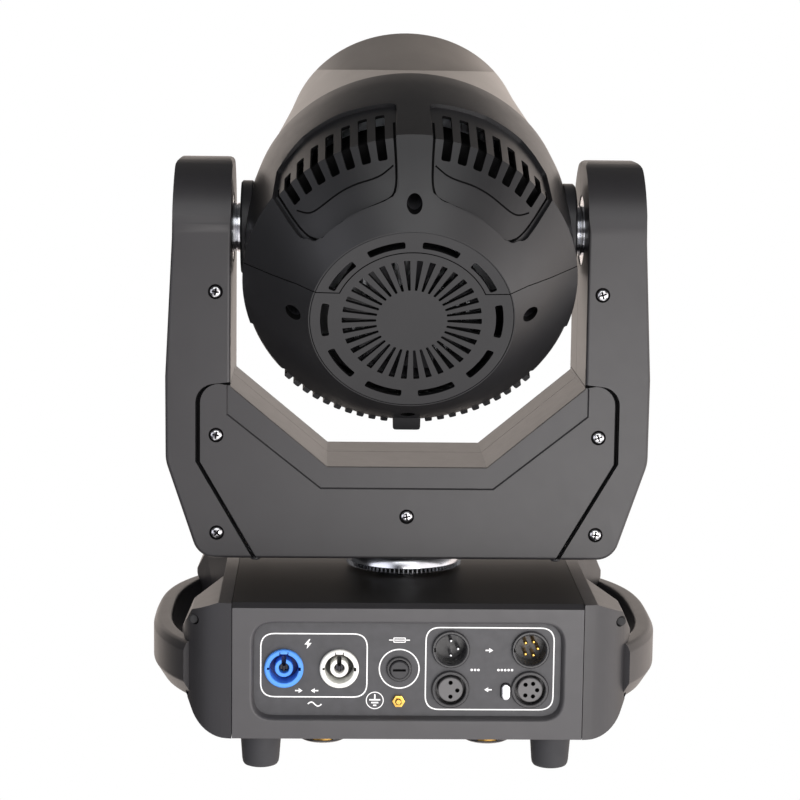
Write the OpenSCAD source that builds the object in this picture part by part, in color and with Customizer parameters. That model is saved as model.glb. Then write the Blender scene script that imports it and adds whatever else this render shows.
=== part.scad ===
// Moving head light: a yoke turns on a base, and a round head tilts in the yoke.
// X runs to the right, +Y is the side the light shines to, Z is up.
// The origin is on the floor under the pan axis. Rest: pan 0, head tilted up by head_tilt.

/* [Base] */
// Half width of the metal part of the base
base_half_w = 108; // [104:1:112]
// Half depth of the base
base_half_d = 112.5; // [110:0.5:116]
// Height of the base's underside above the floor
base_z = 23; // [18:1:28]
// Height of the base's top above the floor
base_top = 108; // [106:1:109]
// Half width of the base at the hand openings
waist_half_w = 116; // [114:1:118]
// Half width at the tips of the side covers
ear_half_w = 139.5; // [137:0.5:141]
// Half width over the carry handles
handle_half_w = 162; // [160:1:166]
// Distance of the feet from the pan axis, across
foot_x = 90.5; // [84:0.5:92]
// Distance of the feet from the pan axis, front to back
foot_y = 87.5; // [82:0.5:92]
// Distance of the clamp sockets from the pan axis, across
socket_x = 52; // [46:1:56]
// Distance of the clamp sockets from the pan axis, front to back
socket_y = 60; // [54:1:66]

/* [Yoke] */
// Half width of the yoke over its arms
yoke_half_w = 152.5; // [151:0.5:155]
// Half of the clear width between the arms
yoke_gap_half = 111.5; // [110.5:0.5:112]
// Half depth of the yoke, front to back
yoke_half_d = 50; // [48:1:52]
// Height of the yoke's underside
yoke_bottom = 122.5; // [122:0.5:124]
// Height of the top of the crossbar
bar_top = 181.5; // [180:0.5:181.5]
// Height of the tops of the arms
arm_top = 373.5; // [370:0.5:376]
// Wall thickness of the plastic covers
wall = 2.5; // [2:0.1:3]

/* [Head] */
// Height of the tilt axis
tilt_z = 328.5; // [328:0.5:330]
// Angle of the beam above the horizontal at rest
head_tilt = 26; // [0:1:40]
// Largest radius of the head
drum_r = 104; // [102:0.5:104.5]
// Radius of the front rim
rim_r = 78.7; // [76:0.1:79]
// Distance from the tilt axis to the front rim
rim_y = 122; // [118:0.5:122]
// Radius of the flat rear ring
ring_r = 62.7; // [60:0.1:64]
// Distance from the tilt axis back to the rear ring
ring_y = 109.5; // [106:0.5:110]
// Number of spokes' gaps in the fan grille
grille_slots = 34; // [24:1:40]

/* [Drive] */
// Teeth on the large belt pulleys
big_teeth = 50; // [50:10:60]
// Teeth on the motor pulleys
small_teeth = 10; // [10:2:12]
// Pitch radius of the large pulleys
big_pulley_r = 29; // [28:0.5:30]
// Radius of the steel tilt shafts
shaft_r = 16; // [15:0.5:16]
// Running clearance of the shafts in their bearings
run_gap = 0.05; // [0.02:0.01:0.08]

/* [Hidden] */
$fn = 48;

big = 400;                       // longer than anything that is cut
slit = 0.3;                      // half of the joint line between two covers
seam_x = base_half_w - 0.3;       // half width of the base's metal panels
split_y = 10;                    // where the yoke's rear and front covers meet
flank_x = 50.5;                  // where the crossbar starts to climb to the arms
flank_top = 232;                 // where it meets the arms
screw_r = 1.6;                   // radius of the cover screws' shanks
screw_places = [[-120.5, 201.5], [120.5, 201.5], [-120, 139], [120, 139], [-121, 292],
                [121, 292], [0, 150]];
plate_y = base_half_d - 5.5;     // front face of the recessed connector plate
plate_t = 2;                     // thickness of the connector plate
recess = [97, 33.8, 97.6, 12];   // half width, bottom, top and corner radius of the recess
pulley_w = 8;                    // width of the belt pulleys
pan_belt_z = 131.5;              // underside of the pan pulleys
pan_motor_x = 70;                // the pan motor beside the pan axis
shelf_z = 142;                   // underside of the shelf that carries it
tilt_motor_z = tilt_z - 93;      // the tilt motor below the tilt axis
tilt_belt_x = -126.5;            // outer side of the tilt pulleys
pulley_ratio = big_teeth / small_teeth;
small_pulley_r = big_pulley_r / pulley_ratio;
button_x = [28, 47, 66, 85];     // menu, down, up and enter
button_z = 64;
power_x = [-76, -42];            // inlet and outlet
power_z = 66.4;
fuse_at = [-5.2, 66.2];
earth_at = [-5.4, 46];
xlr_x = [26.5, 75.5];            // three-pole and five-pole column
xlr_z = [78.8, 53.6];            // males above, females below
latch_at = [60.6, 52.2];
led_y = -46;                     // face of the lamp module, from the tilt axis
colour_y = -30;                  // rear face of the colour wheel
gobo_y = -20;                    // rear face of the gobo wheel
wheel_r = 46;
wheel_off = 34;                  // from the beam to a wheel's own axis
rod_x = 44;                      // guide rods of the focus carriage
focus_y = 54;
fan_r = 41.5;
halves_y = 21;                   // where the rear covers meet the front cover
halves_r = drum_r - 3.5;         // the head's radius there
flat_y = 14;                     // where the front cover's flats start, above and below
flat_half_h = 51;                // half of the height between them at the rim
pan_ring_r = 37.4;               // the toothed ring under the yoke
pan_ring_z = [110.4, 120.4];     // its underside and top

// ---- shared shapes -------------------------------------------------------------------

function arc(c, r, a0, a1, n = 6) =
    [for (i = [0:n]) let (a = a0 + (a1 - a0) * i / n) [c[0] + r * cos(a), c[1] + r * sin(a)]];
function flip(pts) = [for (i = [len(pts) - 1:-1:0]) [-pts[i][0], pts[i][1]]];
function teeth(n, root, tip) =
    [for (i = [0:n - 1], k = [0:3])
        let (a = 360 * (i + [0, 0.28, 0.5, 0.78][k]) / n, r = k < 2 ? root : tip)
        [r * cos(a), r * sin(a)]];
function belt_line(r1, r2, d) =
    let (a = acos((r1 - r2) / d))
    concat(arc([0, 0], r1, a, 360 - a, 24), arc([d, 0], r2, -a, a, 10));

// a bar along Y with its outline in X and Z
module along_y(y0, y1) {
    translate([0, y1, 0]) rotate([90, 0, 0]) linear_extrude(y1 - y0) children();
}

// a bar along X with its outline in Y and Z
module along_x(x0, x1) {
    translate([x0, 0, 0]) rotate([90, 0, 90]) linear_extrude(x1 - x0) children();
}

// a round bar along Y
module rod_y(r, y0, y1) {
    translate([0, y0, 0]) rotate([-90, 0, 0]) cylinder(r = r, h = y1 - y0);
}

// a round bar along X
module rod_x(r, x0, x1) {
    translate([x0, 0, 0]) rotate([0, 90, 0]) cylinder(r = r, h = x1 - x0);
}

module round_rect(half_w, z0, z1, r) {
    translate([-half_w + r, z0]) square([2 * half_w - 2 * r, z1 - z0]);
    translate([-half_w, z0 + r]) square([2 * half_w, z1 - z0 - 2 * r]);
    for (x = [-half_w + r, half_w - r], z = [z0 + r, z1 - r]) translate([x, z]) circle(r);
}

module sides() {
    for (left = [0, 1]) mirror([left, 0, 0]) children();
}

module front_and_back() {
    for (front = [0, 1]) mirror([0, front, 0]) children();
}

// the head's own frame: the beam along +Y, the tilt axis through its origin
module in_head() {
    translate([0, 0, tilt_z]) rotate([head_tilt, 0, 0]) children();
}

module pulley(n, r) {
    linear_extrude(pulley_w) polygon(teeth(n, r - 1, r));
}

module belt(r_big, r_small, d) {
    linear_extrude(pulley_w - 1.5) difference() {
        polygon(belt_line(r_big + 1.8, r_small + 1.8, d));
        polygon(belt_line(r_big + 0.4, r_small + 0.4, d));
    }
}

// ---- base ----------------------------------------------------------------------------

// outline of a side cover seen from behind
function cover_rear_outline(t) = [
    [base_half_w, base_z + t], [119, base_z + t], [128.5 - t, 31 + t], [135.5 - t, 41], [139.3 - t, 52],
    [139.3 - t, 56.5 - t], [135.8 - t, 58.5 - t], [135.8 - t, 77 + t], [ear_half_w - t, 84 + t],
    [ear_half_w - t, 87], [133 - t, 101 - t], [waist_half_w - t / 2, base_top - t],
    [base_half_w, base_top - t]
];

// plan outline of a side cover: rounded ears behind and in front of the hand opening
function cover_plan_half(t) = concat(
    [[base_half_w, -base_half_d + t]],
    arc([105, -78], 34.6 - t, -80, -15, 6),
    [[ear_half_w - t, -83 + t], [waist_half_w - t, -35 - t]]
);
function cover_plan(t) =
    let (h = cover_plan_half(t))
    concat(h, [for (i = [len(h) - 1:-1:0]) [h[i][0], -h[i][1]]]);

module cover_body(t) {
    intersection() {
        linear_extrude(big) polygon(cover_plan(t));
        along_y(-big / 2, big / 2) polygon(cover_rear_outline(t));
    }
}

module side_cover() {
    color("#3c3c40") difference() {
        cover_body(0);
        translate([-0.1, 0, 0]) cover_body(wall);
    }
}

module side_cover_left() { mirror([1, 0, 0]) side_cover(); }
module side_cover_right() { side_cover(); }

function bow_x(y, inset) = handle_half_w - 24 * pow(abs(y) / 98, 2.8) - inset;

module handle() {
    bow = concat([for (y = [-98:7:98]) [bow_x(y, 0), y]],
                 [for (y = [98:-7:-98]) [bow_x(y, 12.5), y]]);
    color("#4a4644") difference() {
        translate([0, 0, 44]) linear_extrude(36) polygon(bow);
        cover_body(0);
        // the underside slopes up towards the outer edge
        along_y(-big / 2, big / 2) polygon([[handle_half_w - 8, 40], [handle_half_w + 1, 58],
                                            [handle_half_w + 1, 40]]);
    }
}

module handle_left() { mirror([1, 0, 0]) handle(); }
module handle_right() { handle(); }

module base_chassis() {
    color("#2b2b2e") {
        difference() {
            translate([-seam_x, -106.8, base_z]) cube([2 * seam_x, 213.6, 2]);
            for (x = [-socket_x, socket_x], y = [-socket_y, socket_y])
                translate([x, y, base_z - 1]) cylinder(r = 5, h = 4);
        }
        sides() translate([seam_x - 2, -106.8, base_z + 2])
            cube([2, 213.6, base_top - 4.7 - base_z]);
    }
}

module base_top_plate() {
    edge = base_half_d;
    color("#242426") difference() {
        along_x(-seam_x, seam_x)
            polygon([[-edge, base_top - 2.7], [-edge + 3.5, base_top], [edge - 3.5, base_top],
                     [edge, base_top - 2.7]]);
        translate([0, 0, 90]) cylinder(r = 17.5, h = 40);
    }
}

module panel_sheet(y0, y1) {
    along_y(y0, y1) translate([-seam_x, base_z])
        square([2 * seam_x, base_top - 2.7 - base_z]);
}

module rear_panel() {
    color("#55555a") difference() {
        panel_sheet(-base_half_d, -plate_y);
        along_y(-big, -50) round_rect(recess[0], recess[1], recess[2], recess[3]);
    }
}

module at_panel(p, y) { translate([p[0], y, p[1]]) children(); }

module connector_plate() {
    color("#3a3a3e") difference() {
        along_y(-plate_y, -plate_y + plate_t) round_rect(recess[0] + 3, recess[1] - 3,
                                                         recess[2] + 3, recess[3]);
        for (x = power_x) at_panel([x, power_z], -big / 2) rod_y(12, 0, big);
        at_panel(fuse_at, -big / 2) rod_y(7.8, 0, big);
        at_panel(earth_at, -big / 2) rod_y(2.2, 0, big);
        for (x = xlr_x, z = xlr_z) at_panel([x, z], -big / 2) rod_y(11.6, 0, big);
        at_panel(latch_at, -big / 2) latch_bar(0.35, 0, big);
    }
}

module power_socket() {
    difference() {
        rod_y(12, -110, -84);
        rod_y(9.5, -111, -96);
    }
    difference() {
        rod_y(4.5, -103, -95.5);
        rod_y(1.6, -104, -98);
    }
    translate([-1.5, -110, 8.6]) cube([3, 14, 1.4]);
}

module power_inlet() {
    color("#3f9fe0") translate([power_x[0], 0, power_z]) power_socket();
}

module power_outlet() {
    color("#b9b9bd") translate([power_x[1], 0, power_z]) power_socket();
}

module fuse_holder() {
    color("#17171a") at_panel(fuse_at, 0) difference() {
        union() {
            rod_y(7.8, -109, -104.5);
            rod_y(6.9, -104.5, -70);
        }
        rod_y(5.75 + run_gap, -110, -100);
        rod_y(3, -101, -72);
    }
}

module fuse_cap() {
    color("#1d1d20") at_panel(fuse_at, 0) difference() {
        rod_y(5.75, -111, -101);
        translate([-4.5, -112, -0.7]) cube([9, 2.2, 1.4]);
    }
}

module xlr_shell(cup_depth) {
    difference() {
        rod_y(11.6, -109.5, -80);
        rod_y(9.2, -110, -109.5 + cup_depth);
    }
}

module pins(n, r, y0, y1, start) {
    for (i = [0:n - 1]) let (a = start + (n == 3 ? 90 : 60) * i)
        translate([r * cos(a), 0, r * sin(a)]) rod_y(1.2, y0, y1);
}

module xlr_males() {
    color("#1a1a1c") for (i = [0, 1]) at_panel([xlr_x[i], xlr_z[0]], 0) {
        xlr_shell(16);
        pins(i == 0 ? 3 : 5, 5.2, -103, -93.3, i == 0 ? 180 : 150);
    }
}

module xlr_females() {
    color("#1a1a1c") for (i = [0, 1]) at_panel([xlr_x[i], xlr_z[1]], 0) difference() {
        union() {
            xlr_shell(9);
            rod_y(7.9, -108.8, -100);
        }
        pins(i == 0 ? 3 : 5, 4.9, -110, -98, i == 0 ? 180 : 150);
    }
}

// a bar along Y with round ends, taller than it is wide
module latch_bar(grow, y0, y1) {
    for (z = [-2.4, 2.4]) translate([0, 0, z]) rod_y(2.8 + grow, y0, y1);
    translate([-2.8 - grow, y0, -2.4]) cube([5.6 + 2 * grow, y1 - y0, 4.8]);
}

module xlr_latch() {
    color("silver") at_panel(latch_at, 0) latch_bar(0, -110, -104);
}

module earth_stud() {
    color("#c9a14a") at_panel(earth_at, 0) {
        rod_y(2.2, -110.6, -98);
        for (y = [-plate_y - 2.2, -plate_y + plate_t])
            translate([0, y, 0]) rotate([-90, 0, 0])
                difference() {
                    cylinder(r = 4.2, h = 2.2, $fn = 6);
                    translate([0, 0, -1]) cylinder(r = 2.2, h = 5);
                }
    }
}

module front_panel() {
    color("#333337") difference() {
        panel_sheet(plate_y, base_half_d);
        along_y(50, big) translate([-72, 40]) square([78, 46]);
        for (x = button_x) at_panel([x, button_z], 50) rod_y(5.3, 0, big);
    }
}

module display_window() {
    color("#10141c") along_y(plate_y + 0.5, base_half_d - 1.5) translate([-72, 40])
        square([78, 46]);
}

module push_button(i) {
    color("#8d8d92") at_panel([button_x[i], button_z], 0) {
        rod_y(5, 106, base_half_d + 1.8);
        rod_y(6.4, 104.6, 106.4);
    }
}

module menu_button() { push_button(0); }
module down_button() { push_button(1); }
module up_button() { push_button(2); }
module enter_button() { push_button(3); }

module rubber_feet() {
    color("#222222") for (x = [-foot_x, foot_x], y = [-foot_y, foot_y])
        translate([x, y, 0]) cylinder(r1 = 11, r2 = 13, h = base_z);
}

module quarter_turn_sockets() {
    color("#c9a14a") for (x = [-socket_x, socket_x], y = [-socket_y, socket_y])
        translate([x, y, 9]) difference() {
            cylinder(r = 16, h = base_z - 9);
            translate([0, 0, -1]) cylinder(r = 5, h = base_z);
        }
}

module power_supply() {
    color("#9a9ca0") translate([-95, -60, base_z + 5]) cube([86, 122, 40]);
    color("#9a9ca0") for (x = [-90, -14], y = [-55, 57])
        translate([x, y, base_z + 2]) cylinder(r = 3, h = 3);
}

module control_board() {
    color("#1f6b3a") {
        translate([-75, 99, 34]) cube([172, 1.6, 58]);
        translate([-68, 100.6, 44]) cube([70, 4, 38]);
    }
    color("#1f6b3a") for (x = [-70, 90], z = [38, 88])
        translate([x, 100.6, z]) rod_y(2.5, 0, plate_y - 100.6);
}

module pan_hub() {
    color("silver") difference() {
        union() {
            translate([0, 0, 92]) cylinder(r = 17.5, h = pan_belt_z + pulley_w + 2 - 92);
            translate([0, 0, base_top - 8]) cylinder(r = 30, h = 5.3);
            translate([0, 0, pan_ring_z[0]])
                cylinder(r = pan_ring_r, h = pan_ring_z[1] - pan_ring_z[0]);
            translate([0, 0, pan_belt_z]) pulley(big_teeth, big_pulley_r);
        }
        translate([0, 0, 80]) cylinder(r = 11, h = 80);
    }
}

// ---- yoke ----------------------------------------------------------------------------

function yoke_half_outline(t) = concat(
    [[0, yoke_bottom + t]],
    arc([121, yoke_bottom + 14.5], 14.5 - t, -90, -17, 5),
    arc([yoke_half_w - 26 - 0.2, 189], 26 - t, -17, 0, 2),
    [[yoke_half_w - t, 238], [yoke_half_w - 4.3 - t, 325]],
    arc([yoke_half_w - 10, arm_top - 5], 5 - t, 0, 90, 3),
    arc([yoke_gap_half + 4, arm_top - 4], 4 - t, 90, 180, 3),
    [[yoke_gap_half + t, flank_top - 0.47 * t], [flank_x + 0.36 * t, bar_top - t],
     [0, bar_top - t]]
);

function yoke_side_outline(t) = concat(
    [[-yoke_half_d + t, yoke_bottom + t], [yoke_half_d - t, yoke_bottom + t]],
    arc([yoke_half_d - 45, arm_top - 45], 45 - t, 0, 90, 9),
    arc([-yoke_half_d + 45, arm_top - 45], 45 - t, 90, 180, 9)
);

module yoke_body(t) {
    intersection() {
        along_y(-yoke_half_d + t, yoke_half_d - t)
            polygon(concat(yoke_half_outline(t), flip(yoke_half_outline(t))));
        along_x(-big / 2, big / 2) polygon(yoke_side_outline(t));
    }
}

// outline of the centre cover: grow is its margin towards the arm covers
module centre_outline(grow) {
    half = concat([[0, 110], [96 - 7 + grow, 110], [96 + grow, yoke_bottom], [132 + grow, 184.5],
                   [132 + grow, 221]],
                  arc([120 + grow, 222], 12, 0, 90, 4),
                  [[yoke_gap_half - 2, 234 + grow], [yoke_gap_half - 2, 260], [0, 260]]);
    polygon(concat(half, flip(half)));
}

module shell_holes() {
    translate([0, 0, 100]) cylinder(r = 33, h = 40);
    translate([0, 0, tilt_z]) rod_x(22.6, -118, 118);
}

module rear_half() { translate([-big / 2, -big, 0]) cube([big, big + split_y - slit, big]); }
module front_half() { translate([-big / 2, split_y + slit, 0]) cube([big, big, big]); }

module yoke_shell() {
    difference() {
        yoke_body(0);
        yoke_body(wall);
        shell_holes();
        front_and_back() for (p = screw_places) at_panel(p, -yoke_half_d)
            rod_y(screw_r + run_gap, -1, wall + 1);
    }
}

module centre_cover() {
    color("#4b4b4f") intersection() {
        yoke_shell();
        along_y(-big / 2, big / 2) centre_outline(-slit);
        children();
    }
}

module arm_cover(side) {
    color("#434347") intersection() {
        difference() {
            yoke_shell();
            along_y(-big / 2, big / 2) centre_outline(slit);
        }
        translate([side < 0 ? -big : 0, -big / 2, 0]) cube([big, big, big]);
        children();
    }
}

module yoke_rear_cover() { centre_cover() rear_half(); }
module yoke_front_cover() { centre_cover() front_half(); }
module arm_cover_left_rear() { arm_cover(-1) rear_half(); }
module arm_cover_right_rear() { arm_cover(1) rear_half(); }
module arm_cover_left_front() { arm_cover(-1) front_half(); }
module arm_cover_right_front() { arm_cover(1) front_half(); }

module yoke_frame() {
    color("#7d8085") difference() {
        union() {
            translate([-117, -40, yoke_bottom + wall + 0.2]) cube([234, 80, 3]);
            sides() along_x(114.3, 117)
                polygon(concat([[-24, yoke_bottom + 5.5], [24, yoke_bottom + 5.5]],
                               arc([0, tilt_z], 30, -10, 190, 10)));
            // shelf that holds the pan motor above its belt
            translate([46, -24, shelf_z]) cube([50, 48, 2.2]);
            for (y = [-24, 22]) translate([46, y, yoke_bottom + 5.5])
                cube([50, 2, shelf_z - yoke_bottom - 5.5]);
            // plate that holds the tilt motor beside its belt
            translate([-130, -24, tilt_motor_z - 24]) cube([2, 48, 48]);
            translate([-130, -24, tilt_motor_z - 24]) cube([13.2, 48, 2]);
        }
        translate([0, 0, 110]) cylinder(r = 27, h = 30);
        translate([pan_motor_x, 0, 130]) cylinder(r = 11, h = 20);
        translate([0, 0, tilt_z]) rod_x(22, -119, 119);
        translate([0, 0, tilt_motor_z]) rod_x(11, -131, -127);
    }
}

module bearings() {
    color("silver") {
        translate([0, 0, yoke_bottom + 0.5]) difference() {
            cylinder(r = 27, h = 6);
            translate([0, 0, -1]) cylinder(r = 17.5 + run_gap, h = 9);
        }
        sides() translate([0, 0, tilt_z]) difference() {
            rod_x(22, 112, 117);
            rod_x(shaft_r + run_gap, 111, 118);
        }
    }
}

module stepper(body_h) {
    difference() {
        union() {
            translate([-21, -21, 0]) cube([42, 42, body_h]);
            translate([0, 0, -2.2]) cylinder(r = 10.9, h = 2.2);
        }
        translate([0, 0, -3]) cylinder(r = 2.5 + run_gap, h = 12);
    }
}

module motor_pulley() {
    pulley(small_teeth, small_pulley_r);
    translate([0, 0, pulley_w]) cylinder(r = 2.5, h = 12);
}

module pan_motor() {
    color("#2a2a2d") translate([pan_motor_x, 0, shelf_z + 2.2]) stepper(30);
}

module pan_motor_pulley() {
    color("gold") translate([pan_motor_x, 0, pan_belt_z]) motor_pulley();
}

module pan_belt() {
    color("#151515") translate([0, 0, pan_belt_z + 0.75])
        belt(big_pulley_r, small_pulley_r, pan_motor_x);
}

// a drive that is drawn along +Z, laid along -X, with the motor below the axis
module along_tilt() { rotate([0, -90, 0]) children(); }

module tilt_motor() {
    color("#2a2a2d") translate([-130, 0, tilt_motor_z]) along_tilt() stepper(17);
}

module tilt_motor_pulley() {
    color("gold") translate([tilt_belt_x + pulley_w, 0, tilt_motor_z]) along_tilt()
        motor_pulley();
}

module tilt_belt() {
    color("#151515") translate([tilt_belt_x + pulley_w - 0.75, 0, tilt_z]) along_tilt()
        rotate([0, 0, 180]) belt(big_pulley_r, small_pulley_r, tilt_z - tilt_motor_z);
}

module pan_head_screw() {
    difference() {
        union() {
            rod_y(4, -2, 0);
            rod_y(screw_r, 0, 1.9);
        }
        for (a = [0, 90]) rotate([0, a, 0]) translate([-2.4, -2.5, -0.5]) cube([4.8, 1.7, 1]);
    }
}

module yoke_screws() {
    color("#b8b8bc") front_and_back() for (p = screw_places) at_panel(p, -yoke_half_d)
        pan_head_screw();
}

// ---- head ----------------------------------------------------------------------------

// radius and place along the beam of the rear half's skin, t below the surface
function rear_skin(t) = [
    [ring_r - 0.4 * t, -ring_y], [75.2 - 0.75 * t, -98.5 + 0.6 * t], [87 - 0.7 * t, -86 + 0.6 * t],
    [98 - 0.75 * t, -73 + 0.5 * t], [drum_r - t, -66 + 0.3 * t], [drum_r - t, -20],
    [drum_r - 1 - t, 5], [halves_r - t, halves_y]
];
function front_skin(t) = [
    [halves_r - t, halves_y], [95 - t, 42], [88.5 - t, 72], [83 - t, 98], [rim_r - t, rim_y]
];

module turned(pts) {
    rotate([-90, 0, 0]) rotate_extrude($fn = 96) polygon(pts);
}

module rear_solid(t, back) {
    turned(concat([[0, -ring_y + back]], [for (p = rear_skin(t)) [p[0], max(p[1], -ring_y + back)]],
                  [[0, halves_y]]));
}

// the part of the rear half above the seam, which is level beside the ring and then
// falls to the tilt axis
module above_seam(gap) {
    along_x(-big / 2, big / 2)
        polygon([[-big / 2, 20 + gap], [-100, 20 + gap], [-64, 13 + gap], [0, gap],
                 [big / 2, gap], [big / 2, big], [-big / 2, big]]);
}

module vent_slots() {
    for (s = [-1, 1], i = [0:6]) rotate([0, s * (11.6 + 6.15 * i), 0])
        translate([-2.7, -74, 85]) cube([5.4, 40 - 0.5 * i * i, 30]);
}

module screw_wells() {
    for (a = [0, 90, 180, 270]) rotate([0, a, 0]) translate([0, 0, 73.5]) rod_y(4.6, -120, -60);
}

module rear_shell() {
    difference() {
        rear_solid(0, 0);
        rear_solid(wall, -1);
        rod_y(ring_r - 0.4, -120, -60);
        vent_slots();
        screw_wells();
        rod_x(30.4, -big / 2, big / 2);
    }
}

module head_top_cover() {
    color("#3a3a3e") in_head() intersection() {
        rear_shell();
        above_seam(slit);
    }
}

module head_bottom_cover() {
    color("#36363a") in_head() difference() {
        rear_shell();
        above_seam(-slit);
    }
}

module front_solid(t) {
    intersection() {
        turned(concat([[0, halves_y]], front_skin(t), [[0, rim_y]]));
        along_x(-big / 2, big / 2)
            polygon([[flat_y, drum_r + 2 - t], [rim_y, flat_half_h - t],
                     [rim_y, -flat_half_h + t], [flat_y, -drum_r - 2 + t]]);
    }
    rod_y(rim_r - t, 40, rim_y);
}

module head_front_cover() {
    color("#5a5552") in_head() difference() {
        front_solid(0);
        translate([0, -0.01, 0]) front_solid(wall);
        rod_y(rim_r - wall, 100, rim_y + 5);
        rod_x(30.4, -big / 2, big / 2);
    }
}

module front_bezel() {
    color("#2c2c30") in_head() difference() {
        rod_y(rim_r - wall - 0.2, 108, 119);
        rod_y(62, 100, 130);
    }
}

module front_lens() {
    color("#cfe3ee") in_head() {
        rod_y(70, 100, 107.6);
        intersection() {
            translate([0, 15, 0]) sphere(r = 101, $fn = 96);
            rod_y(61.5, 107.6, 118);
        }
    }
}

module ring_slot(a) {
    rotate([0, a, 0]) for (k = [-2:2]) rotate([0, k * 4.2, 0])
        translate([-2.4, -big / 2, 51]) cube([4.8, big, 4.6]);
}

module rear_grille() {
    color("#333337") in_head() difference() {
        rod_y(ring_r - 0.6, -ring_y, -ring_y + 2.5);
        for (i = [0:9]) ring_slot(18 + 36 * i);
        for (i = [0:grille_slots - 1]) rotate([0, 360 * i / grille_slots, 0])
            translate([-1.5, -big / 2, 22]) cube([3, big, 20.5]);
    }
}

module head_frame() {
    color("#7d8085") in_head() {
        for (y = [-42, 40]) difference() {
            rod_y(88, y, y + 2);
            rod_y(y < 0 ? 24 : 42, y - 1, y + 3);
        }
        sides() translate([78, -40, -32]) cube([2.5, 80, 64]);
        for (x = [-rod_x, rod_x]) translate([x, 0, 0]) rod_y(3, 42, 96);
    }
}

module tilt_shafts() {
    color("#8b8d92") translate([0, 0, tilt_z]) sides() difference() {
        union() {
            rod_x(30, 99, 106.6);
            rod_x(20, 80.5, 99);
            rod_x(shaft_r, 106.6, 127);
        }
        rod_x(10, 80, 130);
    }
}

module tilt_pulley() {
    color("gold") translate([tilt_belt_x + pulley_w, 0, tilt_z]) along_tilt() difference() {
        pulley(big_teeth, big_pulley_r);
        translate([0, 0, -1]) cylinder(r = shaft_r, h = 12);
    }
}

module heat_sink() {
    color("#b4b7bb") in_head() {
        translate([-36, -56, -36]) cube([72, 6, 72]);
        for (i = [0:11]) translate([-36 + i * 6.36, -88, -36]) cube([2, 32, 72]);
    }
}

module led_module() {
    color("#e3d9a0") in_head() {
        rod_y(20, -50, led_y);
        rod_y(11, led_y, led_y + 3);
    }
}

module fan_frame() {
    color("#1b1b1d") in_head() {
        difference() {
            rod_y(46, -106.6, -91);
            rod_y(42.6, -108, -90);
        }
        difference() {
            union() {
                rod_y(15, -93.4, -91);
                for (i = [0:3]) rotate([0, 45 + 90 * i, 0]) translate([-2, -93.4, 14])
                    cube([4, 2.4, 29.5]);
            }
            rod_y(1.5 + run_gap, -95, -90);
        }
    }
}

module fan_rotor() {
    color("#26262a") in_head() {
        rod_y(14.5, -104.6, -94);
        rod_y(1.5, -94, -91.2);
        for (i = [0:6]) rotate([0, 360 * i / 7, 0]) translate([0, -99.3, 13])
            rotate([0, 0, 32]) translate([-8, -0.9, 0]) cube([16, 1.8, fan_r - 14]);
    }
}

module effect_motor(u, y0, y1, shaft_side) {
    translate([0, 0, u]) difference() {
        translate([-14, y0, -14]) cube([28, y1 - y0, 28]);
        if (shaft_side < 0) rod_y(2 + run_gap, y0 - 1, y0 + 8);
        else rod_y(2 + run_gap, y1 - 8, y1 + 1);
    }
}

module effect_motors() {
    color("#2a2a2d") in_head() {
        effect_motor(-wheel_off, colour_y + 3, 0, -1);
        effect_motor(wheel_off, -40, gobo_y - 3, 1);
        // focus motor, on the front frame plate
        translate([-14, 10, 50]) cube([28, 30, 28]);
    }
}

module wheel(holes, y, u, shaft_y0, shaft_y1) {
    difference() {
        translate([0, 0, u]) rod_y(wheel_r, y, y + 1.5);
        for (i = [0:holes - 1]) translate([0, 0, u]) rotate([0, 360 * i / holes, 0])
            translate([0, 0, -u]) rod_y(8.5, y - 1, y + 3);
    }
    translate([0, 0, u]) rod_y(2, shaft_y0, shaft_y1);
}

module colour_wheel() {
    color("#c9ccd1") in_head() wheel(8, colour_y, -wheel_off, colour_y + 1.5, colour_y + 9);
}

module gobo_wheel() {
    color("#c9ccd1") in_head() wheel(7, gobo_y, wheel_off, gobo_y - 9, gobo_y);
}

module focus_carriage() {
    color("#9fb4c4") in_head() difference() {
        union() {
            rod_y(36, focus_y, focus_y + 8);
            translate([-50, focus_y, -6]) cube([100, 8, 12]);
        }
        for (x = [-rod_x, rod_x]) translate([x, 0, 0]) rod_y(3 + run_gap, 0, big);
    }
}

// ---- output --------------------------------------------------------------------------

base_chassis();
base_top_plate();
rear_panel();
connector_plate();
front_panel();
display_window();
side_cover_left();
side_cover_right();
handle_left();
handle_right();
rubber_feet();
quarter_turn_sockets();
power_inlet();
power_outlet();
fuse_holder();
fuse_cap();
xlr_males();
xlr_females();
xlr_latch();
earth_stud();
power_supply();
control_board();
menu_button();
down_button();
up_button();
enter_button();
pan_hub();
yoke_frame();
yoke_rear_cover();
yoke_front_cover();
arm_cover_left_rear();
arm_cover_right_rear();
arm_cover_left_front();
arm_cover_right_front();
bearings();
pan_motor();
pan_motor_pulley();
pan_belt();
tilt_motor();
tilt_motor_pulley();
tilt_belt();
yoke_screws();
head_top_cover();
head_bottom_cover();
head_front_cover();
front_bezel();
front_lens();
rear_grille();
head_frame();
tilt_shafts();
tilt_pulley();
heat_sink();
led_module();
fan_frame();
fan_rotor();
effect_motors();
colour_wheel();
gobo_wheel();
focus_carriage();
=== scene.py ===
"""Looks of the moving head light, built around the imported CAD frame.

Lengths in this script are millimetres, until solid() turns them into metres. X runs to the
right, +Y is the side the light shines to, Z is up. Head pieces are drawn with the beam along +Y
and the tilt axis through the origin, and into_head() puts them in place.
"""
from math import asin, copysign, cos, degrees, pi, radians, sin, sqrt, tan

import bmesh
import bpy
from mathutils import Matrix, Vector


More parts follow.
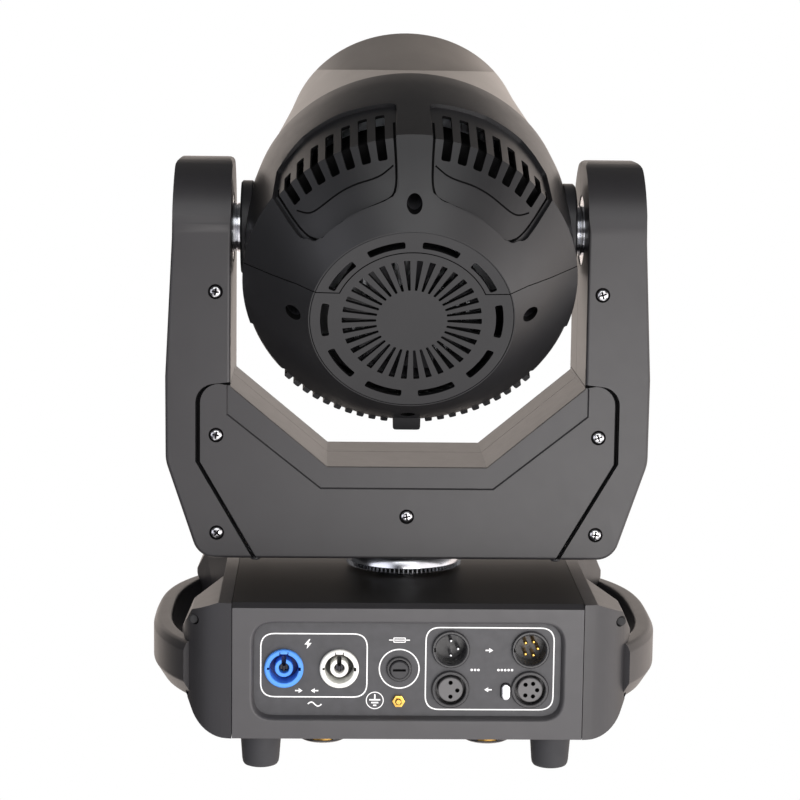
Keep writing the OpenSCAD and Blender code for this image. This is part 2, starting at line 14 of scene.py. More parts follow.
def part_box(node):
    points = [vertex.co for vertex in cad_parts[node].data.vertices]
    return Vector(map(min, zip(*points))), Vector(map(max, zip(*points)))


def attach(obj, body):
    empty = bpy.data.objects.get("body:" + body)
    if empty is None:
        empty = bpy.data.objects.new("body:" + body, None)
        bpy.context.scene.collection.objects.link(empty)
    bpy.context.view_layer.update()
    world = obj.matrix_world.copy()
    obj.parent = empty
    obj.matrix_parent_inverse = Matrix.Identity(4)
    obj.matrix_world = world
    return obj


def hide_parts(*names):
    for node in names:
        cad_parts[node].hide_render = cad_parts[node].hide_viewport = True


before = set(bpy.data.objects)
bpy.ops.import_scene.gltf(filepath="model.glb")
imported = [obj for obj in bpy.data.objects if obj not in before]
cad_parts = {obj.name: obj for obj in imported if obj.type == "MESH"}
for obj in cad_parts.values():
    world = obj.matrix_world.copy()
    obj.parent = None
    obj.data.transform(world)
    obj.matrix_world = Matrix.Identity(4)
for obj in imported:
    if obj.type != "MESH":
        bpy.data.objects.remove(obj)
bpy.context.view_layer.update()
scene = bpy.context.scene
MM = 0.001


# ---- places taken from the frame -----------------------------------------------------------

def place(node):
    """lowest and highest corner of a CAD node"""
    lo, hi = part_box(node)
    return lo / MM, hi / MM


def middle(node):
    lo, hi = place(node)
    return (lo + hi) / 2


def centre_of(node):
    """the middle of a node as seen from the rear or the front"""
    point = middle(node)
    return point.x, point.z


PANEL_LO, PANEL_HI = place("rear_panel")
SEAM_X = PANEL_HI.x
REAR_Y = PANEL_LO.y
BASE_Z = PANEL_LO.z
PANEL_TOP = PANEL_HI.z
BASE_TOP = place("base_top_plate")[1].z
PLATE_Y = place("connector_plate")[0].y
COVER_X = place("side_cover_right")[0].x
EAR_X = place("side_cover_right")[1].x
HANDLE_X = place("handle_right")[1].x
YOKE_W = place("arm_cover_right_rear")[1].x
YOKE_D = place("arm_cover_right_front")[1].y
YOKE_BOTTOM = place("yoke_rear_cover")[0].z
ARM_TOP = place("arm_cover_right_rear")[1].z
SPLIT_Y = (place("yoke_rear_cover")[1].y + place("yoke_front_cover")[0].y) / 2
TILT_Z = middle("tilt_pulley").z

# the yoke
GAP = 111.5             # half of the clear width between the arms
BAR_TOP = 181.5         # top of the crossbar
FLANK_X = 50.5          # where the crossbar starts to climb to the arms
FLANK_TOP = 232.0       # where it meets them
WALL = 2.5
SEAM = 0.3              # half of the joint line between two covers

# the head, from the tilt axis
HEAD_TILT = 26.0
DRUM_R = 104.0
RING_R = 62.7
RING_Y = -109.5
RIM_R = 78.7
RIM_Y = 122.0
HALVES_Y = 21.0         # where the front cover starts
FLAT_Y = 14.0           # where its flats start, above and below
FLAT_HALF_H = 51.0      # half of the height between them at the rim
HUB_R = 30.4

FINE = 128              # steps of the widest turned shapes


# ---- small toolkit --------------------------------------------------------------------------

def arc(centre, radius, start, end, steps=6):
    points = []
    for i in range(steps + 1):
        a = radians(start + (end - start) * i / steps)
        points.append((centre[0] + radius * cos(a), centre[1] + radius * sin(a)))
    return points


def mirrored(half):
    """closes an outline drawn on the positive side with its mirror image"""
    return half + [(-a, b) for a, b in reversed(half) if a > 0.001]


def rounded(points, radius, steps=4):
    """an outline with its corners rounded"""
    result = []
    for i, point in enumerate(points):
        corner = Vector(point)
        back = Vector(points[i - 1]) - corner
        ahead = Vector(points[(i + 1) % len(points)]) - corner
        half = back.angle(ahead) / 2
        reach = min(radius / max(tan(half), 0.01), 0.45 * back.length, 0.45 * ahead.length)
        start = corner + back.normalized() * reach
        end = corner + ahead.normalized() * reach
        for k in range(steps + 1):
            t = k / steps
            bend = (1 - t) ** 2 * start + 2 * t * (1 - t) * corner + t * t * end
            result.append((bend.x, bend.y))
    return result


def doubled(half):
    """closes an outline with its mirror image across the first axis"""
    return half + [(a, -b) for a, b in reversed(half)]


def rectangle(x0, x1, z0, z1):
    return [(x0, z0), (x1, z0), (x1, z1), (x0, z1)]


def box(x, z, w, h):
    """a rectangle given by its middle and half its width and height"""
    return rectangle(x - w, x + w, z - h, z + h)


def circle(centre, radius, steps=48):
    return arc(centre, radius, 0, 360 - 360 / steps, steps - 1)


def oval(at, radius, half_straight):
    top = arc((at[0], at[1] + half_straight), radius, 0, 180, 10)
    return top + arc((at[0], at[1] - half_straight), radius, 180, 360, 10)


def band(path, width):
    """outline of a stripe that follows an open path"""
    left, right = [], []
    for i, point in enumerate(path):
        here = Vector(point)
        into = (here - Vector(path[i - 1])).normalized() if i else None
        out = (Vector(path[i + 1]) - here).normalized() if i < len(path) - 1 else None
        along = ((into or out) + (out or into)).normalized()
        side = Vector((-along.y, along.x)) * (width / 2)
        if into and out:
            side /= max(0.3, along.dot(into))
        left.append(tuple(here + side))
        right.append(tuple(here - side))
    return left + right[::-1]


def smoothed(path, rounds=3):
    """an open path with its corners cut again and again, its ends kept"""
    for _ in range(rounds):
        inner = []
        for (x0, y0), (x1, y1) in zip(path, path[1:]):
            inner += [(x0 + (x1 - x0) / 4, y0 + (y1 - y0) / 4),
                      (x1 - (x1 - x0) / 4, y1 - (y1 - y0) / 4)]
        path = [path[0]] + inner[1:-1] + [path[-1]]
    return path


def axis_point(axis, along, a, b):
    """a point given by its place along an axis and across it; across x is (y, z) and so on"""
    return {"x": (along, a, b), "y": (a, along, b), "z": (a, b, along)}[axis]


def linked(name, data):
    obj = bpy.data.objects.new(name, data)
    scene.collection.objects.link(obj)
    return obj


def solid(points, faces, material):
    mesh = bpy.data.meshes.new("part")
    mesh.from_pydata([Vector(p) * MM for p in points], [], faces)
    work = bmesh.new()
    work.from_mesh(mesh)
    bmesh.ops.remove_doubles(work, verts=work.verts, dist=1e-7)
    stray = [edge for edge in work.edges if not edge.link_faces]
    bmesh.ops.delete(work, geom=stray, context="EDGES")
    bmesh.ops.recalc_face_normals(work, faces=work.faces)
    work.to_mesh(mesh)
    work.free()
    mesh.materials.append(material)
    return linked("part", mesh)


def loft(rings, material, closed=False):
    """a solid through rings with the same number of points; closed joins the last to the first"""
    count = len(rings[0])
    faces = []
    for r in range(len(rings) if closed else len(rings) - 1):
        a, b = r * count, (r + 1) % len(rings) * count
        faces += [(a + i, a + (i + 1) % count, b + (i + 1) % count, b + i) for i in range(count)]
    if not closed:
        last = (len(rings) - 1) * count
        faces += [tuple(range(count)), tuple(range(last, last + count))]
    return solid([p for ring in rings for p in ring], faces, material)


def prism(outline, lo, hi, material, axis="y"):
    rings = [[axis_point(axis, at, a, b) for a, b in outline] for at in (lo, hi)]
    return loft(rings, material)


def soft_slab(outline, lo, hi, radius, material, steps=3):
    """a prism along Y with rounded rims; outline(inset) is its outline drawn in by that much"""
    rings = []
    for k in range(steps + 1):
        a = radians(90 * k / steps)
        rings.append((lo + radius * (1 - cos(a)), radius * (1 - sin(a))))
    rings += [(hi - (at - lo), inset) for at, inset in reversed(rings)]
    return loft([[(a, at, b) for a, b in outline(inset)] for at, inset in rings], material)


def turned(profile, material, axis="y", at=(0, 0), steps=64):
    """a closed profile of (along, radius) points turned about an axis, at a place across it"""
    rings = []
    for i in range(steps):
        a = 2 * pi * i / steps
        rings.append([axis_point(axis, along, at[0] + r * cos(a), at[1] + r * sin(a))
                      for along, r in profile])
    return loft(rings, material, closed=True)


def spun(profile, *more, **options):
    """a solid turned from the outside of its section, which the axis closes"""
    return turned([(profile[0][0], 0)] + profile + [(profile[-1][0], 0)], *more, **options)


def rod(lo, hi, radius, *more, **options):
    """a plain cylinder"""
    return spun([(lo, radius), (hi, radius)], *more, **options)


def apply(obj):
    """replaces the mesh by what its modifiers make of it"""
    graph = bpy.context.evaluated_depsgraph_get()
    mesh = bpy.data.meshes.new_from_object(obj.evaluated_get(graph), depsgraph=graph)
    old = obj.data
    obj.modifiers.clear()
    obj.data = mesh
    bpy.data.meshes.remove(old)
    return obj


def boolean(obj, operation, others):
    for other in others:
        step = obj.modifiers.new("boolean", "BOOLEAN")
        step.operation = operation
        step.solver = "EXACT"
        step.object = other
        step.material_mode = "TRANSFER"
    apply(obj)
    for other in others:
        bpy.data.objects.remove(other)
    return obj


def cut(obj, *others):
    return boolean(obj, "DIFFERENCE", others)


def keep(obj, *others):
    return boolean(obj, "INTERSECT", others)


def weld(obj, *others):
    return boolean(obj, "UNION", others)


def copy(obj):
    return linked("part", obj.data.copy())


def joined(objs):
    """several objects as one, each mesh part as it was"""
    with bpy.context.temp_override(active_object=objs[0], object=objs[0],
                                   selected_editable_objects=objs, selected_objects=objs):
        bpy.ops.object.join()
    return objs[0]


def ease(obj, width, segments=2, angle=40):
    """rounds the edges sharper than angle"""
    step = obj.modifiers.new("ease", "BEVEL")
    step.width = width * MM
    step.segments = segments
    step.limit_method = "ANGLE"
    step.angle_limit = radians(angle)
    step.miter_outer = "MITER_ARC"
    return apply(obj)


def flipped(obj, axis=0):
    """the mirror image of an object"""
    twin = copy(obj)
    mirror = Matrix.Identity(4)
    mirror[axis][axis] = -1
    twin.data.transform(mirror)
    twin.data.flip_normals()
    return twin


def turn(obj, angle, axis):
    obj.data.transform(Matrix.Rotation(radians(angle), 4, axis))
    return obj


def shift(obj, x, y, z):
    obj.data.transform(Matrix.Translation(Vector((x, y, z)) * MM))
    return obj


def into_head(obj):
    return shift(turn(obj, HEAD_TILT, "X"), 0, 0, TILT_Z)


def close_cracks(obj):
    """merges points that fell together and closes the small gaps that booleans leave"""
    work = bmesh.new()
    work.from_mesh(obj.data)
    bmesh.ops.remove_doubles(work, verts=work.verts, dist=0.004 * MM)
    bmesh.ops.dissolve_degenerate(work, edges=work.edges, dist=0.002 * MM)
    gaps = [edge for edge in work.edges if edge.is_boundary]
    bmesh.ops.holes_fill(work, edges=gaps, sides=12)
    work.to_mesh(obj.data)
    work.free()


def piece(obj, name, body, slot, *nodes, sharp=34):
    """shades a finished piece and ties it to its body and the CAD nodes it stands for; slot is not
    used
    """
    obj.name = name
    close_cracks(obj)
    obj.data.shade_smooth()
    obj.data.set_sharp_from_angle(angle=radians(sharp))
    step = obj.modifiers.new("even", "WEIGHTED_NORMAL")
    step.keep_sharp = True
    apply(obj)
    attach(obj, body)
    if nodes:
        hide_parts(*nodes)
    return obj


# ---- materials ------------------------------------------------------------------------------

def linear(screen):
    """a colour as seen on a screen, 0 to 255, as linear light"""
    levels = [c / 255 for c in screen]
    return tuple(c / 12.92 if c < 0.04 else ((c + 0.055) / 1.055) ** 2.4 for c in levels)


def feed(tree, node, **inputs):
    """sets inputs of a shader node, each to a value or to another node's output"""
    for name, value in inputs.items():
        socket = node.inputs[name.replace("_", " ")]
        if isinstance(value, bpy.types.NodeSocket):
            tree.links.new(value, socket)
        else:
            socket.default_value = value
    return node


def add_node(tree, kind, **inputs):
    return feed(tree, tree.nodes.new("ShaderNode" + kind), **inputs)


def finish(name, screen, rough, metal=0.0, shade=0.08, grain=0.0, grain_size=0.4, spread=0.08,
           specular=0.5, patch=45.0, brushed=(1, 1, 1), clear=0.0):
    """moulded, painted or machined surface: uneven colour and gloss, and a fine grain"""
    material = bpy.data.materials.new(name)
    material.use_nodes = True
    tree = material.node_tree
    spot = add_node(tree, "TexCoord").outputs["Object"]
    where = add_node(tree, "Mapping", Vector=spot, Scale=brushed).outputs["Vector"]

    def noise(scale, detail):
        texture = add_node(tree, "TexNoise", Vector=where, Scale=scale, Detail=detail)
        return texture.outputs["Fac"]

    tone = add_node(tree, "ValToRGB", Fac=noise(patch, 4))
    ends = (0.3, 1 - shade), (0.7, 1 + shade)
    for element, (at, factor) in zip(tone.color_ramp.elements, ends):
        element.position = at
        element.color = (*[min(1, c * factor) for c in linear(screen)], 1)
    gloss = add_node(tree, "MapRange", Value=noise(patch * 3, 5), To_Min=max(0.02, rough - spread),
                     To_Max=min(1, rough + spread))
    shader = feed(tree, tree.nodes["Principled BSDF"], Metallic=metal, Specular_IOR_Level=specular,
                  Transmission_Weight=clear, Base_Color=tone.outputs["Color"],
                  Roughness=gloss.outputs["Result"])
    if grain:
        height = noise(1 / (grain_size * MM), 3)
        bump = add_node(tree, "Bump", Strength=0.6, Distance=grain * MM, Height=height)
        feed(tree, shader, Normal=bump.outputs["Normal"])
    return material


CHARCOAL = finish("charcoal_plastic", (45, 44, 46), 0.42, grain=0.04, shade=0.05, spread=0.03)
HEAD_BLACK = finish("head_plastic", (28, 28, 30), 0.39, grain=0.04, shade=0.06, spread=0.04)
# painted reflection: the front cover is charcoal plastic, given a light warm grey that stands in
# for the bright backdrop reflected in it
FRONT_PAINTED_SHEEN = finish("front_plastic_painted_sheen", (134, 127, 121), 0.4, grain=0.04, shade=0.05, spread=0.03,
                    specular=0.9)
DARK = finish("dark_plastic", (40, 40, 43), 0.48, grain=0.04)
# painted shade: the near-black colour that cutters leave on the walls of grooves, seams, slots,
# holes and recesses, and that a few dark fillers carry
GROOVE = finish("groove_shadow", (10, 10, 11), 0.9, specular=0.1)
PANEL = finish("panel_paint", (67, 66, 68), 0.47, grain=0.04, grain_size=0.5, shade=0.05)
PLATE = finish("plate_paint", (60, 60, 63), 0.5, grain=0.06, grain_size=0.6, shade=0.12, patch=160)
TOP_PAINT = finish("top_paint", (26, 24, 22), 0.5, spread=0.0, shade=0.0, specular=0.35)
RUBBER = finish("foot_rubber", (46, 46, 49), 0.75, grain=0.08, grain_size=0.7)
PRINT = finish("white_print", (248, 248, 248), 0.6, shade=0.02)
STEEL = finish("bright_metal", (200, 200, 203), 0.2, metal=1.0, shade=0.05)
RING_STEEL = finish("turned_metal", (214, 216, 222), 0.16, metal=1.0, shade=0.05,
                    brushed=(1, 1, 30), patch=90)
DARK_STEEL = finish("blackened_steel", (60, 60, 64), 0.28, metal=0.9, shade=0.1)
BARE_STEEL = finish("bare_steel", (150, 152, 156), 0.4, metal=0.9, shade=0.1, patch=25)
ALUMINIUM = finish("cast_aluminium", (186, 188, 191), 0.42, metal=1.0, shade=0.06)
GOLD = finish("gold_metal", (222, 178, 92), 0.24, metal=1.0, shade=0.12, patch=120)
DIM_GOLD = finish("socket_gold", (128, 100, 52), 0.36, metal=1.0, shade=0.12)
BRASS = finish("pulley_brass", (196, 160, 92), 0.35, metal=1.0, shade=0.1)
SOCKET_BLUE = finish("connector_blue", (82, 150, 240), 0.32, shade=0.04)
SOCKET_GREY = finish("connector_grey", (240, 240, 235), 0.36, shade=0.03)
# painted shade: darker copies of the grey and the blue socket plastic, for the keyway walls and
# floors inside the sockets
SOCKET_GREY_SHADE = finish("connector_grey_painted_shade", (52, 52, 50), 0.6)
SOCKET_BLUE_SHADE = finish("connector_blue_painted_shade", (18, 44, 120), 0.5)
CONNECTOR = finish("connector_black", (44, 44, 46), 0.26, shade=0.06)
INSERT = finish("connector_insert", (92, 91, 92), 0.45, shade=0.05)
BUTTON = finish("button_plastic", (120, 121, 125), 0.45, grain=0.03)
BELT = finish("belt_rubber", (28, 28, 30), 0.7, grain=0.05)
BOARD = finish("board_green", (24, 92, 52), 0.4, shade=0.15, patch=300)
LAMP = finish("lamp_yellow", (226, 206, 120), 0.35, shade=0.06)
WHEEL = finish("wheel_metal", (180, 184, 190), 0.25, metal=1.0, shade=0.05)
SCREEN = finish("window_glass", (10, 12, 18), 0.08, shade=0.05, spread=0.02, specular=0.3)
LENS = finish("lens_glass", (247.0, 251.6, 255), 0.02, shade=0.02, spread=0.01, clear=1.0)

CAD_LOOKS = [(DARK, "base_chassis"), (ALUMINIUM, "power_supply heat_sink"),
             (BOARD, "control_board"), (BARE_STEEL, "yoke_frame head_frame"), (STEEL, "bearings"),
             (DARK_STEEL, "pan_motor tilt_motor effect_motors"),
             (BRASS, "pan_motor_pulley tilt_motor_pulley tilt_pulley"),
             (BELT, "pan_belt tilt_belt"), (LAMP, "led_module"),
             (WHEEL, "colour_wheel gobo_wheel"), (LENS, "focus_carriage")]


def dress_cad_nodes():
    """gives the CAD nodes that stay their own finish"""
    for material, names in CAD_LOOKS:
        for name in names.split():
            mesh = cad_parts[name].data
            mesh.materials.clear()
            mesh.materials.append(material)


# ---- yoke -----------------------------------------------------------------------------------

def yoke_outline(inset):
    half = [(0, YOKE_BOTTOM + inset)]
    half += arc((121, YOKE_BOTTOM + 14.5), 14.5 - inset, -90, -17, 8)
    half += arc((YOKE_W - 26.2, 189), 26 - inset, -17, 0, 4)
    half += [(YOKE_W - inset, 238), (YOKE_W - 4.3 - inset, 325)]
    half += arc((YOKE_W - 10, ARM_TOP - 5), 5 - inset, 0, 90, 5)
    half += arc((GAP + 4, ARM_TOP - 4), 4 - inset, 90, 180, 4)
    half += [(GAP + inset, FLANK_TOP - 0.47 * inset), (FLANK_X + 0.36 * inset, BAR_TOP - inset)]
    return mirrored(half + [(0, BAR_TOP - inset)])


def yoke_side(inset):
    edge, round_off = YOKE_D - inset, 45
    at = YOKE_D - round_off, ARM_TOP - round_off
    return ([(-edge, YOKE_BOTTOM + inset), (edge, YOKE_BOTTOM + inset)]
            + arc(at, round_off - inset, 0, 90, 12) + arc((-at[0], at[1]), round_off - inset, 90,
                                                          180, 12))


def yoke_centre(grow):
    """outline between the centre cover and the arm covers"""
    half = [(0, 100), (96 - 13.3 + grow, 100), (96 + grow, YOKE_BOTTOM), (132 + grow, 184.5),
            (132 + grow, 221)]
    half += arc((120 + grow, 222), 12, 0, 90, 8)
    return mirrored(half + [(GAP - 2, 234 + grow), (GAP - 2, 262), (0, 262)])


SCREW_PLACES = [(side * x, z) for side in (1, -1)
                for x, z in ((120.5, 201.5), (120, 139), (121, 292))] + [(0, 150)]
STRIP_CORNERS = [(113.6, 232.6), (113.6, 214.7), (54.6, 167.9)]
LIP_CORNERS = [(GAP, 245), (GAP, FLANK_TOP), (FLANK_X, BAR_TOP)]


def yoke_shell():
    body = soft_slab(yoke_outline, -YOKE_D, YOKE_D, 2.0, CHARCOAL)
    keep(body, prism(yoke_side(0), -200, 200, CHARCOAL, "x"))
    ease(body, 0.8, 2, 50)
    groove = 1.5
    wide = 0.45             # half the width of the slope beside the strip along the U
    for back in (-1, 1):
        face = back * YOKE_D
        ring = prism(yoke_centre(groove), face - 2, face + 2, GROOVE)
        cut(ring, prism(yoke_centre(-groove), face - 5, face + 5, GROOVE))
        shift(ring, 0, back * 0.4, 0)
        rings = []
        for out, away in ((3, wide), (0, wide), (-1.2, -wide)):
            moved = band(mirrored(STRIP_CORNERS), 2 * away)[:2 * len(STRIP_CORNERS)]
            rings.append([(x, face + back * out, z) for x, z in moved + [(-90, 250), (90, 250)]])
        strip = loft(rings, CHARCOAL)
        lip_line = prism(band(mirrored(LIP_CORNERS), 1.6), face - back * 3.1, face - back * 2.2,
                         GROOVE)
        # painted shade: the shallow counterbores round the screws get the near-black groove colour
        # on their walls
        wells = [rod(face - back, face + back * 2, 4.7, GROOVE, at=(x, z), steps=32)
                 for x, z in SCREW_PLACES]
        cut(body, ring, strip, lip_line, joined(wells))
    inner = prism(yoke_outline(WALL), -YOKE_D + WALL, YOKE_D - WALL, DARK)
    keep(inner, prism(yoke_side(WALL), -200, 200, DARK, "x"))
    return cut(body, inner, rod(100, 140, 33, DARK, "z"),
               rod(-118, 118, 22.6, DARK, "x", (0, TILT_Z)))


def build_yoke():
    shell = yoke_shell()
    reach = 2 * YOKE_D
    for end, lo, hi in (("rear", -reach, SPLIT_Y - SEAM), ("front", SPLIT_Y + SEAM, reach)):
        centre = copy(shell)
        keep(centre, prism(yoke_centre(-SEAM), lo, hi, CHARCOAL))
        piece(ease(centre, 0.3, 1, 50), f"yoke_{end}_cover_shell", "yoke", "charcoal_plastic",
              f"yoke_{end}_cover")
        for side, x0, x1 in (("left", -200, 0), ("right", 0, 200)):
            zone = prism(rectangle(x0, x1, 90, 400), lo, hi, CHARCOAL)
            cut(zone, prism(yoke_centre(SEAM), -reach - 5, reach + 5, CHARCOAL))
            arm = keep(copy(shell), zone)
            piece(ease(arm, 0.3, 1, 50), f"arm_cover_{side}_{end}_shell", "yoke",
                  "charcoal_plastic", f"arm_cover_{side}_{end}")
    bpy.data.objects.remove(shell)
    build_yoke_screws()
    plugs = [spun([(YOKE_BOTTOM - 1.6, 2.6), (YOKE_BOTTOM - 0.8, 3.3), (YOKE_BOTTOM + 1, 3.3)],
                  DARK, "z", at=(x, y), steps=24) for x in (-95.5, 95.5) for y in (-44, 44)]
    lap = prism(yoke_outline(WALL + 0.1), SPLIT_Y - 2.5, SPLIT_Y + 2.5, DARK)
    cut(lap, prism(yoke_outline(WALL + 0.9), SPLIT_Y - 5, SPLIT_Y + 5, DARK),
        prism(rectangle(-GAP - 12, GAP + 12, 0, 500), -50, 50, DARK))
    plugs.append(lap)
    piece(joined(plugs), "yoke_plugs", "yoke", "dark_plastic")


def cross_screw(radius=4.0, height=2.0):
    """a pan head with a cross recess, its face towards -Y, at the origin"""
    head = turned([(0, 0), (0, radius)]
                  + [(-height * sin(radians(a)), radius * (0.35 + 0.65 * cos(radians(a))))
                     for a in range(10, 91, 16)] + [(-height, 0)], STEEL, steps=32)
    arm = rectangle(-0.55, 0.55, -0.6 * radius, 0.6 * radius)
    cross = [prism(outline, -height - 1, -0.9, GROOVE)
             for outline in (arm, [(b, a) for a, b in arm])]
    return turn(cut(head, *cross), 20, "Y")


def build_yoke_screws():
    pattern = cross_screw()
    screws = []
    for x, z in SCREW_PLACES:
        rear = turn(copy(pattern), x + z, "Y")
        front = flipped(rear, axis=1)
        screws += [shift(rear, x, -YOKE_D + 1.0, z), shift(front, x, YOKE_D - 1.0, z)]
    bpy.data.objects.remove(pattern)
    piece(joined(screws), "yoke_screw_heads", "yoke", "bright_metal", "yoke_screws")


# ---- head -----------------------------------------------------------------------------------

REAR_SKIN = [(RING_Y, RING_R), (-98.5, 75.2), (-86, 87), (-73, 98), (-66, DRUM_R), (-20, DRUM_R),
             (5, DRUM_R - 1), (HALVES_Y, DRUM_R - 3.5)]
FRONT_SKIN = [(HALVES_Y, DRUM_R - 3.9), (42, 95), (72, 88.5), (98, 83), (RIM_Y, RIM_R)]


def radius_at(y, profile):
    for (y0, r0), (y1, r1) in zip(profile, profile[1:]):
        if y0 <= y <= y1:
            return r0 + (r1 - r0) * (y - y0) / (y1 - y0)
    return profile[0][1] if y < profile[0][0] else profile[-1][1]


def under_skin(depth):
    """the rear skin's profile, moved in along its own normals"""
    skin = [Vector(point) for point in REAR_SKIN]
    result = []
    for i, point in enumerate(skin):
        before = point - skin[i - 1] if i else None
        after = skin[i + 1] - point if i < len(skin) - 1 else None
        along = ((before or after).normalized() + (after or before).normalized()).normalized()
        result.append((point.x + depth * along.y, point.y - depth * along.x))
    return result


def skin_solid(depth, material):
    return spun(under_skin(depth), material, steps=FINE)


def from_top(y, angle, radius):
    """a point of the head, at an angle from the top in degrees"""
    a = radians(angle)
    return radius * sin(a), y, radius * cos(a)


ARC_SCALE = radians(90)    # length on the skin for one degree


def on_skin(points, mirror):
    """(along, degrees) to (along, arc length), so that corners round evenly, and back"""
    flat = rounded([(y, a * ARC_SCALE) for y, a in points], 5.0)
    return [(y, mirror * s / ARC_SCALE) for y, s in flat]


VENT = [(-25, 5.5), (-22, 26), (-24.7, 40.7), (-38.5, 53), (-69, 55), (-91, 55.8), (-97.4, 51),
        (-98.9, 46.7), (-97.5, 31.5), (-96.2, 13.2), (-92.3, 6.5)]
CREASE = [(-78, 8), (-83, 14), (-82.6, 27), (-84.7, 41), (-83.5, 47), (-77.5, 50.6)]
FIELD_EDGE = [(-58, 53.1), (-88, 54.3), (-95.9, 50.3), (-97.2, 46.3), (-95.9, 31.5), (-94.6, 13.7),
              (-91.2, 7.7), (-75, 6.7), (-45, 6.7)]
WELLS = [from_top(0, *at)[::2] for at in ((0, 75), (90, 72.5), (180, 81), (270, 72))]
VENT_DEPTH = 2.6
SLOT_COUNT = 7
SLOT_START, SLOT_STEP = 11.6, 6.15        # degrees from the top
RIB_COUNT = 10
RIB_START, RIB_STEP = 8.0, 4.4            # degrees from the bottom
SEAM_LINE = [(-140, 20), (-100, 20), (-64, 13), (0, 0), (60, 0)]


def seam_zone(gap):
    """everything above the seam between the top and bottom covers"""
    outline = [(y, z + gap) for y, z in SEAM_LINE] + [(60, 150), (-140, 150)]
    return prism(outline, -150, 150, GROOVE, "x")


def skin_line(path, mirror, width, depth):
    """a cutter for a groove that follows a path of (along, degrees) under the rear skin"""
    edge = band([(y, mirror * a * ARC_SCALE) for y, a in smoothed(path)], width)
    floor = under_skin(depth)
    rings = []
    for one, other in zip(edge, edge[::-1]):
        corners = (one, None), (one, 125), (other, 125), (other, None)
        rings.append([from_top(y, s / ARC_SCALE, r or radius_at(y, floor))
                      for (y, s), r in corners])
    return loft(rings[:len(rings) // 2], GROOVE)


def vent_cutters():
    """the sunken fields with their crease and edge lines, one field on each side of the top"""
    cutters = []
    for mirror in (-1, 1):
        outline = on_skin(VENT, mirror)
        field = loft([[from_top(y, a, r) for y, a in outline] for r in (30, 125)], HEAD_BLACK)
        cut(field, skin_solid(VENT_DEPTH, HEAD_BLACK))
        # painted shade: the crease line and the line along the field's edge are grooves whose
        # walls take the near-black groove colour
        cutters += [field, skin_line(CREASE, mirror, 0.9, 3.5),
                    skin_line(FIELD_EDGE, mirror, 1.4, VENT_DEPTH + 0.9)]
    return cutters


def slot_cutters():
    slots = []
    for mirror in (-1, 1):
        for i in range(SLOT_COUNT):
            end = -34 - 0.5 * i * i
            slit = rounded(rectangle(-2.9, 2.9, -75, end), 1.2, 2)
            slots.append(turn(prism(slit, 70, 125, GROOVE, "z"),
                              mirror * (SLOT_START + SLOT_STEP * i), "Y"))
    return joined(slots)


def rear_half():
    """the rear shell as one ring, sunken and cut through from outside"""
    mouth = RING_R - 0.6
    inner = [(y, r) for y, r in under_skin(WALL + 2) if r > mouth + 2]
    inner[-1] = (HALVES_Y, inner[-1][1])
    profile = [(RING_Y, mouth)] + REAR_SKIN + inner[::-1] + [(RING_Y + 5, mouth)]
    body = turned(profile, HEAD_BLACK, steps=FINE)
    for cutter in vent_cutters():
        cut(body, cutter)
    cut(body, slot_cutters())
    cut(body, joined([rod(-125, -70, 4.7, GROOVE, at=at, steps=30) for at in WELLS]))
    return cut(body, rod(-140, 140, HUB_R, DARK, "x"))


def well_cups():
    """closed tubes behind the screw holes, each shut by a floor deep inside"""
    cups = []
    for at in WELLS:
        cup = turned([(RING_Y, 4.75), (RING_Y, 5.9), (-70, 5.9), (-70, 0), (-71.5, 0),
                      (-71.5, 4.75)], DARK, at=at, steps=30)
        cups.append(keep(cup, skin_solid(1.0, DARK)))
    return cups


def fins():
    """ribs along the lower side of the drum, with a lug between them at the bottom"""
    ribs = []
    for side in (-1, 1):
        for i in range(RIB_COUNT):
            angle = side * (RIB_START + RIB_STEP * i)
            rib = prism(rounded(rectangle(-2.3, 2.3, 99.5, DRUM_R), 0.9, 2), -68, 8, HEAD_BLACK)
            ribs.append(turn(rib, 180 + angle, "Y"))
    lug = soft_slab(lambda t: rounded(rectangle(-8.8 + t, 8.8 - t, -DRUM_R + t, -94), 2, 3), -77,
                    -60, 0.8, HEAD_BLACK)
    return ribs + [lug]


def lower_band():
    """cuts the drum's lower side back a little, and more where the ribs stand on it"""
    bands = []
    for edge, below in ((1.3, 17), (2.3, 38)):
        ring = turned([(-69, DRUM_R - edge - 1.5), (-66, DRUM_R - edge), (7 - edge, DRUM_R - edge),
                       (7 - edge, DRUM_R + 3 + edge), (-80 - edge, DRUM_R + 3 + edge),
                       (-80 - edge, 95.2 - edge)], HEAD_BLACK, steps=FINE)
        low = tan(radians(below))
        zone = prism([(-200, -200 * low), (0, 0), (200, -200 * low), (200, -300), (-200, -300)],
                     -120, 40, HEAD_BLACK)
        bands.append(keep(ring, zone))
    return bands


def build_head_covers():
    shell = rear_half()
    top = keep(copy(shell), seam_zone(SEAM))
    bottom = cut(copy(shell), seam_zone(-SEAM))
    bpy.data.objects.remove(shell)
    cut(bottom, *lower_band())
    # painted shade: a near-black ring inside the top cover, behind the vent slots, so that they
    # show dark
    inner_shade_ring = turned([(-61, 84), (-61, 98.8), (-58.5, 98.8), (-58.5, 87), (-20, 87), (-20, 84)],
                      GROOVE, steps=FINE)
    keep(inner_shade_ring, prism([(0, 0), (-150, 95), (-150, 150), (150, 150), (150, 95)], -70, -10,
                         GROOVE))
    cups = well_cups()
    top = joined([ease(top, 0.5, 2, 38), inner_shade_ring, cups[0]])
    bottom = joined([ease(bottom, 0.42, 2, 38)] + cups[1:] + fins())
    piece(into_head(top), "head_top_shell", "head", "head_plastic", "head_top_cover")
    piece(into_head(bottom), "head_bottom_shell", "head", "head_plastic", "head_bottom_cover")


